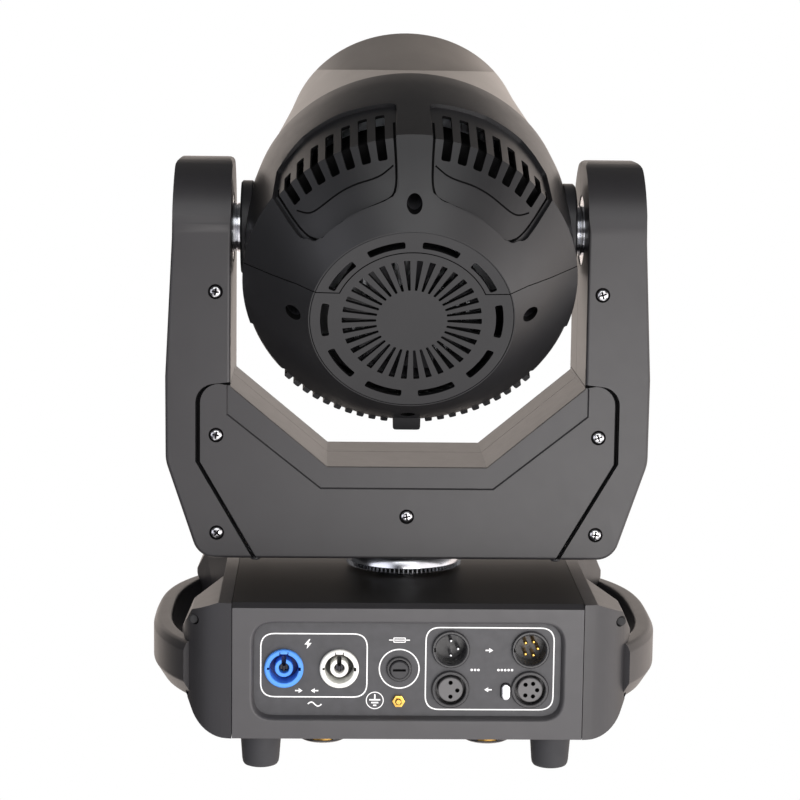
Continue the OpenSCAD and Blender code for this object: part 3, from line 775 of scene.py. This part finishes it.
def front_body(depth, material, start=HALVES_Y, stretch=0.0):
    profile = [(y, r - depth) for y, r in FRONT_SKIN]
    profile = [(start, profile[0][1])] + profile[1:]
    profile[-1] = (RIM_Y + stretch, profile[-1][1])
    body = spun(profile, material, steps=FINE)
    half = [(FLAT_Y, DRUM_R + 2 - depth), (RIM_Y + 4, FLAT_HALF_H - 2 - depth)]
    flats = prism(doubled(half), -150, 150, material, "x")
    keep(body, flats)
    tube = rod(40, RIM_Y + stretch, RIM_R - depth, material, steps=FINE)
    return weld(body, tube)


def build_head_front():
    # the outside of the front cover takes the light grey with painted reflection, the inside the
    # dark plastic
    body = front_body(0, FRONT_PAINTED_SHEEN)
    ease(body, 0.8, 2, 42)
    cut(body, front_body(WALL, DARK, start=HALVES_Y - 2, stretch=2))
    cut(body, rod(-140, 140, HUB_R, DARK, "x"))
    piece(into_head(ease(body, 0.3, 1, 50)), "head_front_shell", "head", "charcoal_plastic",
          "head_front_cover", sharp=8)


def build_optics():
    inner = 62
    bezel = turned([(108, inner + 1), (108, RIM_R - 2.8), (118.2, RIM_R - 2.8), (119, RIM_R - 3.6),
                    (119, 74), (115.5, 71.5), (115.5, 68), (118, 66), (118, 64), (116.5, inner),
                    (109, inner)], DARK, steps=FINE)
    pattern = cross_screw(2.4, 1.3)
    bolts = []
    for i in range(6):
        bolts.append(shift(flipped(pattern, axis=1), *from_top(115.6, 60 * i + 30, 70)))
    bpy.data.objects.remove(pattern)
    piece(into_head(joined([bezel] + bolts)), "lens_bezel", "head", "dark_plastic", "front_bezel")
    dome = [(y, sqrt(101 ** 2 - (y - 15) ** 2)) for y in (95.3, 98, 101, 104, 107, 110, 112.5,
                                                          114.4, 115.5)]
    lens = turned([(100.2, 0), (100.2, 69.4), (100.8, 70), (107, 70), (107.6, 69.4), (107.6, 61.5)]
                  + [(y, min(61.5, r)) for y, r in dome if r < 61.5] + [(116, 0)], LENS, steps=96)
    piece(into_head(lens), "front_lens_glass", "head", "lens_glass", "front_lens")


SHORT_SLOTS = 10
GRILLE_RAYS = 34


def build_grille():
    edge = RING_R - 0.7
    plate = spun([(RING_Y, edge - 0.5), (RING_Y + 0.5, edge), (RING_Y + 2.5, edge)], HEAD_BLACK,
                 steps=FINE)
    cutters = []
    for i in range(SHORT_SLOTS):
        start, end = 360 / SHORT_SLOTS * i - 12.5, 360 / SHORT_SLOTS * i + 12.5
        slot = arc((0, 0), 55.6, start, end, 8) + arc((0, 0), 51.0, end, start, 8)
        cutters.append(prism(rounded(slot, 2.2, 3), RING_Y - 3, RING_Y + 6, GROOVE))
    for i in range(GRILLE_RAYS):
        blade = rounded([(-0.75, 21.5), (0.75, 21.5), (1.9, 42.5), (-1.9, 42.5)], 0.5, 2)
        slot = prism(blade, RING_Y - 3, RING_Y + 6, GROOVE)
        cutters.append(turn(slot, 360 / GRILLE_RAYS * (i + 0.5), "Y"))
    cut(plate, joined(cutters))
    level = degrees(asin(20 / 50))
    line = [(80, 20)] + arc((0, 0), 48, level, 180 - level, 32) + [(-80, 20)]
    cut(plate, prism(band(line, 0.7), RING_Y - 1, RING_Y + 0.8, GROOVE))
    piece(into_head(ease(plate, 0.35, 2, 50)), "fan_grille", "head", "head_plastic", "rear_grille")


FAN_Y = -99.3
FAN_BLADES = 7


def build_fan():
    frame_ring = turned([(-106.6, 42.6), (-106.6, 45.5), (-106.1, 46), (-91, 46), (-91, 42.6)],
                        DARK, steps=96)
    hub = rod(-93.4, -91, 15, DARK, steps=48)
    struts = [turn(prism(rectangle(-2, 2, 14, 43.5), -93.4, -91, DARK), 45 + 90 * i, "Y")
              for i in range(4)]
    piece(into_head(joined([frame_ring, hub] + struts)), "fan_housing", "head", "dark_plastic",
          "fan_frame")
    blades = []
    for i in range(FAN_BLADES):
        rings = []
        for k in range(7):
            r = 13.5 + (41 - 13.5) * k / 6
            pitch = radians(46 - 3.4 * k)
            sweep = 3.2 * k
            chord = 7.2 + 0.5 * k
            ring = []
            for t, thick in ((-1, 0.3), (0, 0.9), (1, 0.4), (1, -0.4), (0, -0.9), (-1, -0.3)):
                across = chord * t
                y = across * sin(pitch) * 0.62 + thick * cos(pitch)
                ring.append(from_top(FAN_Y + y, sweep + degrees(across * cos(pitch) / r), r))
            rings.append(ring)
        blades.append(turn(loft(rings, DARK), 360 / FAN_BLADES * i, "Y"))
    core = spun([(-104.6, 13), (-103.2, 14.5), (-94, 14.5), (-94, 1.5), (-91.2, 1.5)], DARK,
                steps=48)
    piece(into_head(joined([core] + blades)), "fan_wheel", "fan", "dark_plastic", "fan_rotor")


def build_hubs():
    """hub discs and hollow shafts on both sides of the head"""
    disc = [(80.5, 10), (80.5, 20), (99, 20), (99, 29.5), (99.5, 30), (105.4, 30), (106.6, 28.8),
            (106.6, 24.5), (105.9, 24), (105.9, 21), (106.6, 20.5), (106.6, 10)]
    shaft = [(106.4, 10.2), (106.4, 15.2), (107.2, 16), (108.4, 16), (108.8, 15.2), (109.4, 15.2),
             (109.8, 16), (127, 16), (127, 10.2)]
    right = joined([turned(half, material, "x", at=(0, TILT_Z), steps=96)
                    for half, material in ((disc, DARK), (shaft, RING_STEEL))])
    piece(joined([right, flipped(right)]), "tilt_hubs", "head", "bare_steel", "tilt_shafts")


# ---- base -----------------------------------------------------------------------------------

RECESS = (97.0, 33.8, 97.6)     # half width, bottom and top of the panel's recess


def recess_outline(inset):
    half, low, high = RECESS
    return rounded(rectangle(-half + inset, half - inset, low + inset, high - inset), 15 - inset,
                   7)


def panel_slab(lo, hi):
    """a plain sheet between the side covers"""
    return soft_slab(lambda t: rectangle(-SEAM_X + t, SEAM_X - t, BASE_Z + t, PANEL_TOP - t), lo,
                     hi, 0.5, PANEL, steps=2)


def build_rear_panel():
    panel = panel_slab(REAR_Y, PLATE_Y)
    deep = PLATE_Y - REAR_Y
    steps = [(-1.5, 0), (0, 0), (0.35, 0.9), (1.1, 1.5), (2.0, 1.8), (deep + 1, 3.0)]
    opening = loft([[(x, REAR_Y + y, z) for x, z in recess_outline(t)] for y, t in steps], PANEL)
    piece(cut(panel, opening), "rear_panel_sheet", "base", "panel_paint", "rear_panel")


def build_connector_plate():
    lo, hi = place("connector_plate")
    plate = prism(rounded(rectangle(lo.x, hi.x, lo.z, hi.z), 12, 6), lo.y, hi.y, PLATE)
    through = lo.y - 3, hi.y + 3
    radii = [(INLET, 12.05), (OUTLET, 12.05), (FUSE, 7.85), (EARTH, 2.25)]
    radii += [(at, 11.65) for at in XLR_MALES + XLR_FEMALES]
    holes = [rod(*through, radius, GROOVE, at=at, steps=48) for at, radius in radii]
    cut(plate, joined(holes), prism(oval(LATCH, 3.2, 2.4), *through, GROOVE))
    piece(plate, "connector_panel", "base", "panel_paint", "connector_plate")


def xlr_centres(node):
    """centres of the two connectors in a node, three-pole first"""
    lo, hi = place(node)
    radius = (hi.z - lo.z) / 2
    z = (lo.z + hi.z) / 2
    return [(lo.x + radius, z), (hi.x - radius, z)]


INLET, OUTLET = centre_of("power_inlet"), centre_of("power_outlet")
FUSE, EARTH, LATCH = centre_of("fuse_cap"), centre_of("earth_stud"), centre_of("xlr_latch")
XLR_MALES, XLR_FEMALES = xlr_centres("xlr_males"), xlr_centres("xlr_females")


def on_panel(parts, at):
    """joins parts drawn round the origin and moves them to their place on the plate"""
    return shift(joined(parts), at[0], 0, at[1])


def power_socket(name, node, slot, at, material, hollow):
    """round locking mains socket: outer ring with keyways, inner sleeve with three contacts"""
    ring = spun([(-84, 12), (-109.3, 12), (-110, 11.3), (-110, 9.4), (-109.5, 9.0), (-96, 8.8)],
                material)
    # the keyways, the sleeve's slot and the floor take the hollow colour, a darker copy of the
    # socket's own: painted shade
    for sides, end in (((8.0, 10.4, -1.2, 1.0), -99), ((-10.4, -8.0, -0.6, 0.8), -99),
                       ((-2.8, 2.8, 7.5, 10.6), -97)):
        cut(ring, prism(rectangle(*sides), -111, end, hollow))
    sleeve = turned([(-95.5, 3.3), (-95.5, 5.6), (-107.6, 5.6), (-108, 5.2), (-108, 3.7),
                     (-107.7, 3.3)], material, steps=48)
    cut(sleeve, prism(rectangle(-1.5, 1.3, 1, 7), -109, -99, hollow))
    floor = rod(-95.6, -97.0, 8.85, hollow, steps=48)
    tab = prism(rounded(rectangle(-2.2, 2.2, 9.2, 10.9), 0.4, 2), -109.6, -98, material)
    contacts = [prism(rounded(box(x, z, 0.6, 1.6), 0.3, 2), -104, -96, DARK_STEEL)
                for x, z in ((-1.6, 0), (1.6, 0), (0, -1.2))]
    piece(on_panel([ring, sleeve, floor, tab] + contacts, at), name, "base", slot, node)


# places of the poles on a unit circle, by their count
XLR_POLES = {3: [(0.0, 1.0), (0.95, -0.1), (0.0, -1.0)],
             5: [arc((0, 0), 1, a, a, 1)[0] for a in (130, 65, 0, -65, -130)]}


def xlr_shell(mouth, floor):
    return turned([(-80, 0), (-80, 11.6), (-109, 11.6), (-109.5, 11.1)] + mouth
                  + [(floor, 9.2), (floor, 0)], CONNECTOR)


def build_xlr():
    males, females = [], []
    for i, count in enumerate((3, 5)):
        shell = xlr_shell([(-109.5, 10.2), (-108.8, 9.4)], -93.5)
        cut(shell, prism(rectangle(-10.4, -8.5, -1.4, 1.4), -111, -98, GROOVE))
        pin = [(-93, 0), (-93, 1.2), (-104.4, 1.2), (-105.3, 0.7), (-105.6, 0)]
        pins = [turned(pin, STEEL if count == 3 else GOLD, at=(4.6 * a, 4.6 * b), steps=20)
                for a, b in XLR_POLES[count]]
        males.append(on_panel([shell] + pins, XLR_MALES[i]))
        insert = spun([(-99.5, 7.7), (-108.5, 7.7), (-109, 7.2)], INSERT, steps=48)
        holes = [rod(-111, -103, 1.35, GROOVE, at=(4.4 * a, 4.4 * b), steps=20)
                 for a, b in XLR_POLES[count]]
        cut(insert, joined(holes))
        females.append(on_panel([xlr_shell([(-109.5, 9.8), (-109.0, 9.3)], -100), insert],
                                XLR_FEMALES[i]))
    piece(joined(males), "data_inputs", "base", "connector_black", "xlr_males")
    piece(joined(females), "data_outputs", "base", "connector_black", "xlr_females")
    lo, hi = place("xlr_latch")
    latch = soft_slab(lambda t: oval(LATCH, 2.8 - t, 2.4), lo.y, hi.y, 0.9, STEEL)
    piece(latch, "latch_button", "latch", "bright_metal", "xlr_latch")


def build_fuse():
    holder = turned([(-70, 3), (-70, 6.9), (-104.5, 6.9), (-104.5, 7.8), (-108.4, 7.8),
                     (-109, 7.2), (-109, 6.2), (-108.6, 5.85), (-101, 5.85), (-101, 3)], CONNECTOR,
                    at=FUSE)
    piece(holder, "fuse_socket", "base", "connector_black", "fuse_holder")
    cap = spun([(-101.2, 5.7), (-110.4, 5.7), (-111, 5.1)], DARK, at=FUSE)
    cut(cap, prism(rounded(box(*FUSE, 4, 0.75), 0.5, 2), -113, -109.6, GROOVE))
    piece(cap, "fuse_knob", "fuse_cap", "dark_plastic", "fuse_cap")


def build_earth_stud():
    hexagon = circle(EARTH, 4.1, 6)
    parts = [ease(prism(hexagon, y, y + 2.2, GOLD), 0.35, 2, 40)
             for y in (PLATE_Y - 2.2, PLATE_Y + 2)]
    parts.append(spun([(-98, 2.1), (-110, 2.1), (-110.6, 1.5)], GOLD, at=EARTH, steps=32))
    piece(joined(parts), "earth_screw", "base", "gold_metal", "earth_stud")


FACE, UNDER = PLATE_Y - 0.12, PLATE_Y + 0.1     # front and back of the print on the plate


def outline_frame(x, z, w, h, radius, width):
    """a printed frame line round a middle, with half its width and height"""
    outer = rounded(box(x, z, w, h), radius, 8)
    inner = rounded(box(x, z, w - width, h - width), radius - width, 8)
    lines = (UNDER, outer), (FACE, outer), (FACE, inner), (UNDER, inner)
    return loft([[(x, y, z) for x, z in line] for y, line in lines], PRINT, closed=True)


def printed(outline):
    return prism(outline, FACE, UNDER, PRINT)


def ring_print(at, radius, width):
    inner = radius - width
    return turned([(FACE, radius), (UNDER, radius), (UNDER, inner), (FACE, inner)], PRINT, at=at)


def arrow(x, z, way):
    """an arrow into a bar, or out of it"""
    head = [(x + way * 2.0, z), (x - way * 0.4, z + 1.5), (x - way * 0.4, z - 1.5)]
    return [printed(head), printed(box(x - way * 1.55, z, 1.05, 0.4))]


def build_prints():
    """white frame lines and plain symbols beside the connectors"""
    marks = [outline_frame(-57.6, 68.1, 33, 20.3, 9, 0.75),
             outline_frame(50.5, 66.45, 39.8, 26.25, 9, 0.75), ring_print(FUSE, 12.6, 0.75)]
    x, z = -20, 46.1
    marks += [ring_print((x, z), 5.5, 0.55), printed(box(x, z + 2.25, 0.45, 1.65))]
    marks += [printed(box(x, z + dz, w, 0.45)) for w, dz in ((3.4, 0.4), (2.2, -1.4), (1.0, -3.1))]
    bolt = [(0.6, 3), (-2.2, -0.4), (-0.3, -0.4), (-0.8, -3), (2.2, 0.6), (0.2, 0.6), (1.4, 3)]
    marks.append(printed([(-61.3 + a, 81.6 + b) for a, b in bolt]))
    for x, z, way in ((-66.5, 52.1, 1), (50.4, 78.1, 1), (-57.4, 52.1, -1), (49.4, 53.2, -1)):
        marks += arrow(x, z, way)
    wave = [(-61.2 + 0.7 * i, 43.6 + 1.3 * sin(radians(30 * i))) for i in range(13)]
    marks.append(printed(band(wave, 0.75)))
    x, z = FUSE[0], 84.3
    marks += [printed(box(x, z, 6.4, 0.3)), outline_frame(x, z, 3.8, 1.6, 0.6, 0.55)]
    for x, count in ((41.5, 3), (60.1, 5)):
        marks += [printed(circle((x + 2.1 * (i - (count - 1) / 2), 65.7), 0.75, 16))
                  for i in range(count)]
    piece(joined(marks), "panel_prints", "base", "panel_paint")


def build_top_plate():
    lo, hi = place("base_top_plate")
    low, lip = BASE_TOP - 2.7, 3.5
    side = [(lo.y + lip, low), (lo.y + lip, BASE_TOP), (hi.y - lip, BASE_TOP), (hi.y - lip, low)]
    plate = prism(side, lo.x, hi.x, TOP_PAINT, "x")
    cut(plate, rod(90, 120, 18, DARK, "z"))
    lips = [prism([(y, low), (y + slope, BASE_TOP), (y + slope, low)], lo.x, hi.x, CHARCOAL, "x")
            for y, slope in ((lo.y, lip), (hi.y, -lip))]
    piece(joined([plate] + lips), "base_top_sheet", "base", "top_paint", "base_top_plate")


def cover_rear_outline():
    points = [(COVER_X - 6, BASE_Z)] + arc((111, 47), 47 - BASE_Z, -90, -20, 10)
    points += [(139.3, 51.5), (139.3, 56.5), (135.8, 58.5), (135.8, 77), (EAR_X, 83.5),
               (EAR_X, 86.5), (133, 101), (116, BASE_TOP), (COVER_X - 6, BASE_TOP)]
    return rounded(points, 2.2, 3)


def cover_plan():
    half = [(COVER_X - 6, -112.5), (COVER_X, -112.5)]
    half += arc((105, -78), 34.6, -80, -14, 14)[1:]
    half += [(EAR_X, -84), (EAR_X - 0.6, -80), (116, -36)]
    return doubled(half)


def piece_pair(right, node, kind):
    """a piece on the right of the base and its mirror image"""
    for side, obj in (("right", right), ("left", flipped(right))):
        piece(obj, f"{node}_{side}_{kind}", "base", "charcoal_plastic", f"{node}_{side}")


PLUG_AT = (131.6, 95.2)


def build_side_covers():
    cover = prism(cover_plan(), BASE_Z - 3, BASE_TOP + 3, CHARCOAL, "z")
    keep(cover, prism(cover_rear_outline(), -120, 120, CHARCOAL))
    ease(cover, 1.6, 3, 30)
    cut(cover, prism(rectangle(60, COVER_X, 0, 200), -200, 200, CHARCOAL))
    cutters = []
    for side in (-1, 1):
        cutters.append(rod(side * 90, side * 120, 3.3, GROOVE, at=PLUG_AT, steps=24))
        for y, z in ((-93, 47.5), (-86, 40)):
            hole = prism(rounded(rectangle(-1.6, 1.6, -3.2, 3.2), 1.2, 3), 118, 150, GROOVE, "x")
            cutters.append(shift(hole, 0, side * -y, z))
    cut(cover, joined(cutters))
    hollow = prism(rounded([(COVER_X - 5, BASE_Z + 3), (117, BASE_Z + 3), (131, 42), (131, 96),
                            (115, BASE_TOP - 3), (COVER_X - 5, BASE_TOP - 3)], 3, 3), -104, 104,
                   DARK)
    plan = [(COVER_X - 6, -106)] + arc((105, -78), 30.5, -80, -20, 8) + [(134, -80), (113.2, -35)]
    keep(hollow, prism(doubled(plan), 0, 200, DARK, "z"))
    cut(cover, hollow)
    plugs = [turned([(side * 93, 0), (side * 93, 3.1), (side * 99.6, 3.1), (side * 100.3, 2.3),
                     (side * 100.5, 0)], BELT, at=PLUG_AT, steps=24) for side in (-1, 1)]
    piece_pair(joined([cover] + plugs), "side_cover", "shell")


def build_handles():
    """a bow of rounded section along the side"""
    bulge, half, power = 24, 98, 2.8
    low, high = (corner.z for corner in place("handle_right"))
    section = rounded([(0, low + 11), (-7, low), (-12.5, low), (-12.5, high), (-2.5, high),
                       (0, high - 5)], 3.2, 4)
    rings = []
    for i in range(57):
        y = -97.8 + 195.6 * i / 56
        slope = copysign(bulge * power / half * (abs(y) / half) ** (power - 1), y)
        normal = Vector((1, slope, 0)).normalized()
        x = HANDLE_X - bulge * (abs(y) / half) ** power
        rings.append([Vector((x, y, z)) + normal * across for across, z in section])
    bow = loft(rings, CHARCOAL)
    keep(bow, prism(rectangle(120, HANDLE_X, 0, 200), -97.9, 97.9, CHARCOAL))
    piece_pair(bow, "handle", "bow")


def corners(node, inset):
    """four places at the corners of a node, drawn in from its sides"""
    lo, hi = place(node)
    x, y = (hi.x - lo.x) / 2 - inset, (hi.y - lo.y) / 2 - inset
    return [(-x, -y), (-x, y), (x, -y), (x, y)]


def build_feet():
    profile = [(0, 0), (0, 9.2), (0.5, 10.4), (1.8, 11.2), (4, 11.6), (BASE_Z - 1.5, 12.9),
               (BASE_Z, 13), (BASE_Z, 0)]
    feet = [cut(turned(profile, RUBBER, "z", at, 48), rod(-1, 12, 5, GROOVE, "z", at, 32))
            for at in corners("rubber_feet", 13)]
    piece(joined(feet), "feet", "base", "foot_rubber", "rubber_feet")


def build_sockets():
    """quarter-turn receptacles for the hanging clamps"""
    parts = []
    for x, y in corners("quarter_turn_sockets", 16):
        cup = turned([(BASE_Z, 5.5), (BASE_Z, 15.2), (15, 15.6), (11.5, 15.9), (9.9, 15.2),
                      (9, 13.6), (9, 12.2), (12.5, 11.6), (12.5, 5.5)], CONNECTOR, "z", (x, y))
        for near, far in ((-20, -9), (9, 20)):
            window = rounded(rectangle(x - 6.5, x + 6.5, 10.9, 12.6), 0.8, 3)
            cut(cup, prism(window, y + near, y + far, DIM_GOLD))
        core = turned([(13.4, 5), (13.4, 14.4), (10.2, 14.8), (9.8, 13.9), (12.2, 11.2),
                       (12.2, 5)], DIM_GOLD, "z", (x, y))
        parts += [cup, core]
    piece(joined(parts), "clamp_sockets", "base", "gold_metal", "quarter_turn_sockets")


def toothed(count, root, tip):
    points = []
    for i in range(count):
        for share, radius in ((0, root), (0.28, root), (0.5, tip), (0.78, tip)):
            a = 2 * pi * (i + share) / count
            points.append((radius * cos(a), radius * sin(a)))
    return points


def build_pan_hub():
    lo, hi = place("pan_hub")
    rim = 37.4              # radius of the silver flange
    body = turned([(lo.z, 11), (lo.z, 17.5), (100, 17.5), (100, 30), (105.3, 30), (105.3, 17.5),
                   (110.4, 17.5), (110.4, rim - 1.9), (113.4, rim - 1.9), (113.6, rim),
                   (118.6, rim - 0.8), (120.4, rim - 2.2), (120.4, 17.5), (hi.z, 17.5),
                   (hi.z, 11)], RING_STEEL, "z", steps=FINE)
    teeth = prism(toothed(80, rim - 1.9, rim), 110.4, 113.7, RING_STEEL, "z")
    cut(teeth, rod(100, 120, rim - 2.4, RING_STEEL, "z", steps=96))
    # painted shade: a near-black ring behind the teeth, which shows dark in the gaps between them
    gaps = turned([(110.6, rim - 3), (110.6, rim - 1.3), (113.5, rim - 1.3), (113.5, rim - 3)],
                  GROOVE, "z", steps=FINE)
    pulley = prism(toothed(50, 28, 29), 131.5, 139.5, BRASS, "z")
    cut(pulley, rod(125, 145, 17, BRASS, "z"))
    piece(joined([body, teeth, gaps, pulley]), "pan_flange", "base", "bright_metal", "pan_hub")


def build_front_panel():
    lo, hi = place("front_panel")
    panel = panel_slab(lo.y, hi.y)
    glass_lo, glass_hi = place("display_window")

    def window(t):
        return rounded(rectangle(glass_lo.x + t, glass_hi.x - t, glass_lo.z + t, glass_hi.z - t),
                       4 - t, 4)

    steps = (hi.y + 1, -1.8), (hi.y - 0.2, -1.4), (hi.y - 1.4, 0), (lo.y - 1, 0)
    opening = loft([[(x, y, z) for x, z in window(t)] for y, t in steps], DARK)
    buttons = [name + "_button" for name in ("menu", "down", "up", "enter")]
    cut(panel, opening, joined([rod(lo.y - 2, hi.y + 2, 5.3, GROOVE, at=centre_of(node), steps=48)
                                for node in buttons]))
    piece(panel, "front_panel_sheet", "base", "panel_paint", "front_panel")
    glass = soft_slab(lambda t: window(t + 0.1), glass_lo.y, glass_hi.y, 0.4, SCREEN)
    piece(glass, "display_glass", "base", "window_glass", "display_window")
    for node in buttons:
        back, front = (corner.y for corner in place(node))
        cap = turned([(back, 0), (back, 6.4), (back + 1.8, 6.4), (back + 1.8, 5), (front - 0.8, 5),
                      (front - 0.2, 4.3), (front, 3.4), (front - 0.35, 0)], BUTTON,
                     at=centre_of(node), steps=48)
        piece(cap, node + "_cap", node.split("_")[0], "button_plastic", node)


# ---- camera and light -----------------------------------------------------------------------

CAMERA_AT = (-49.8, -1560.9, 450.85)
YAW, PITCH, ROLL = 1.694, -8.508, 0.728     # degrees to the right of +Y, upwards and clockwise
FOCAL_LENGTH = 109.46


def add_camera():
    lens = bpy.data.cameras.new("camera")
    lens.lens = FOCAL_LENGTH
    lens.sensor_width = 36
    camera = linked("camera", lens)
    stand = Matrix.Translation(Vector(CAMERA_AT) * MM)
    for angle, axis in ((-YAW, "Z"), (90 + PITCH, "X"), (ROLL, "Z")):
        stand @= Matrix.Rotation(radians(angle), 4, axis)
    camera.matrix_world = stand
    scene.camera = camera


def area_light(name, position, target, size, power, colour):
    data = bpy.data.lights.new(name, "AREA")
    data.shape = "RECTANGLE"
    data.size, data.size_y = size
    data.energy = power
    data.color = colour
    light = linked(name, data)
    light.location = position
    light.rotation_mode = "QUATERNION"
    light.rotation_quaternion = (Vector(target) - Vector(position)).to_track_quat("-Z", "Y")


NEAR_LEFT = (0.1, 0.1, 0.14)
NEAR_RIGHT = (3.4, 3.25, 3.22)
DIM_LEFT = (0.05, 0.05, 0.06)
DIM_RIGHT = (1.5, 1.42, 1.4)
LEFT_WALL = (1.5, 1.5, 1.6)
FLOOR = (1.5, 1.46, 1.46)
BACKDROP = (1.35, 1.2, 1.1)
SOFTBOX, FLOOR_SIDE, CEILING, FLAG, WHITE = ((grey,) * 3 for grey in (2.6, 0.3, 0.07, 0.05, 1.0))


def studio_light(world):
    """room light by direction: a white backdrop on the far side, a dim room on the near side,
    which is warmer and lighter to the right and dark overhead; the camera sees plain white"""
    tree = world.node_tree
    parts = add_node(tree, "SeparateXYZ", Vector=add_node(tree, "TexCoord").outputs["Generated"])

    def blend(one, other, axis, start, end):
        """one colour up to start along an axis, and the other from end on"""
        step = add_node(tree, "MapRange", Value=parts.outputs[axis], From_Min=start, From_Max=end)
        step.interpolation_type = "SMOOTHSTEP"
        return mix(step.outputs["Result"], one, other)

    def mix(factor, one, other):
        step = add_node(tree, "Mix")
        step.data_type = "RGBA"
        tree.links.new(factor, step.inputs["Factor"])
        for socket, value in (("A_Color", one), ("B_Color", other)):
            target = next(i for i in step.inputs if i.identifier == socket)
            if isinstance(value, tuple):
                target.default_value = (*value, 1)
            else:
                tree.links.new(value, target)
        return next(o for o in step.outputs if o.identifier == "Result_Color")

    dim = blend(DIM_LEFT, DIM_RIGHT, "X", -0.17, 0.38)
    near = blend(blend(NEAR_LEFT, NEAR_RIGHT, "X", -0.15, 0.36), dim, "Z", -0.3, 0.1)
    near = blend(near, blend(FLOOR, FLOOR_SIDE, "X", 0.3, 0.8), "Z", -0.3, -0.6)
    left = blend(FLAG, blend(FLAG, LEFT_WALL, "Y", -0.2, -0.45), "Z", -0.35, -0.2)
    near = blend(near, left, "X", -0.25, -0.6)
    box = blend(blend(SOFTBOX, CEILING, "X", 0.3, 0.6), FLAG, "X", -0.25, -0.5)
    near = blend(blend(near, box, "Z", 0.2, 0.4), CEILING, "Z", 0.6, 0.8)
    far = blend(blend(BACKDROP, FLAG, "X", -0.5, -0.8), CEILING, "Z", 0.4, 0.6)
    room = blend(near, far, "Y", -0.05, 0.35)
    seen = add_node(tree, "LightPath").outputs["Is Camera Ray"]
    feed(tree, tree.nodes["Background"], Color=mix(seen, room, WHITE))


def add_studio():
    world = bpy.data.worlds.new("studio")
    world.use_nodes = True
    scene.world = world
    studio_light(world)
    area_light("overhead", (0, 1.1, 2.0), (0, 0, 0.4), (1.7, 1.2), 0.8, (1.0, 0.93, 0.87))
    area_light("low_front", (0.2, -0.8, 0.06), (0, 0, 0.13), (0.5, 0.3), 2.4, (1.0, 0.98, 0.96))
    scene.view_settings.view_transform = "Standard"


dress_cad_nodes()
build_yoke()
build_head_covers()
build_head_front()
build_optics()
build_grille()
build_fan()
build_hubs()
build_rear_panel()
build_connector_plate()
power_socket("mains_inlet", "power_inlet", "connector_blue", INLET, SOCKET_BLUE, SOCKET_BLUE_SHADE)
power_socket("mains_outlet", "power_outlet", "connector_grey", OUTLET, SOCKET_GREY, SOCKET_GREY_SHADE)
build_xlr()
build_fuse()
build_earth_stud()
build_prints()
build_top_plate()
build_side_covers()
build_handles()
build_feet()
build_sockets()
build_pan_hub()
build_front_panel()
add_camera()
add_studio()
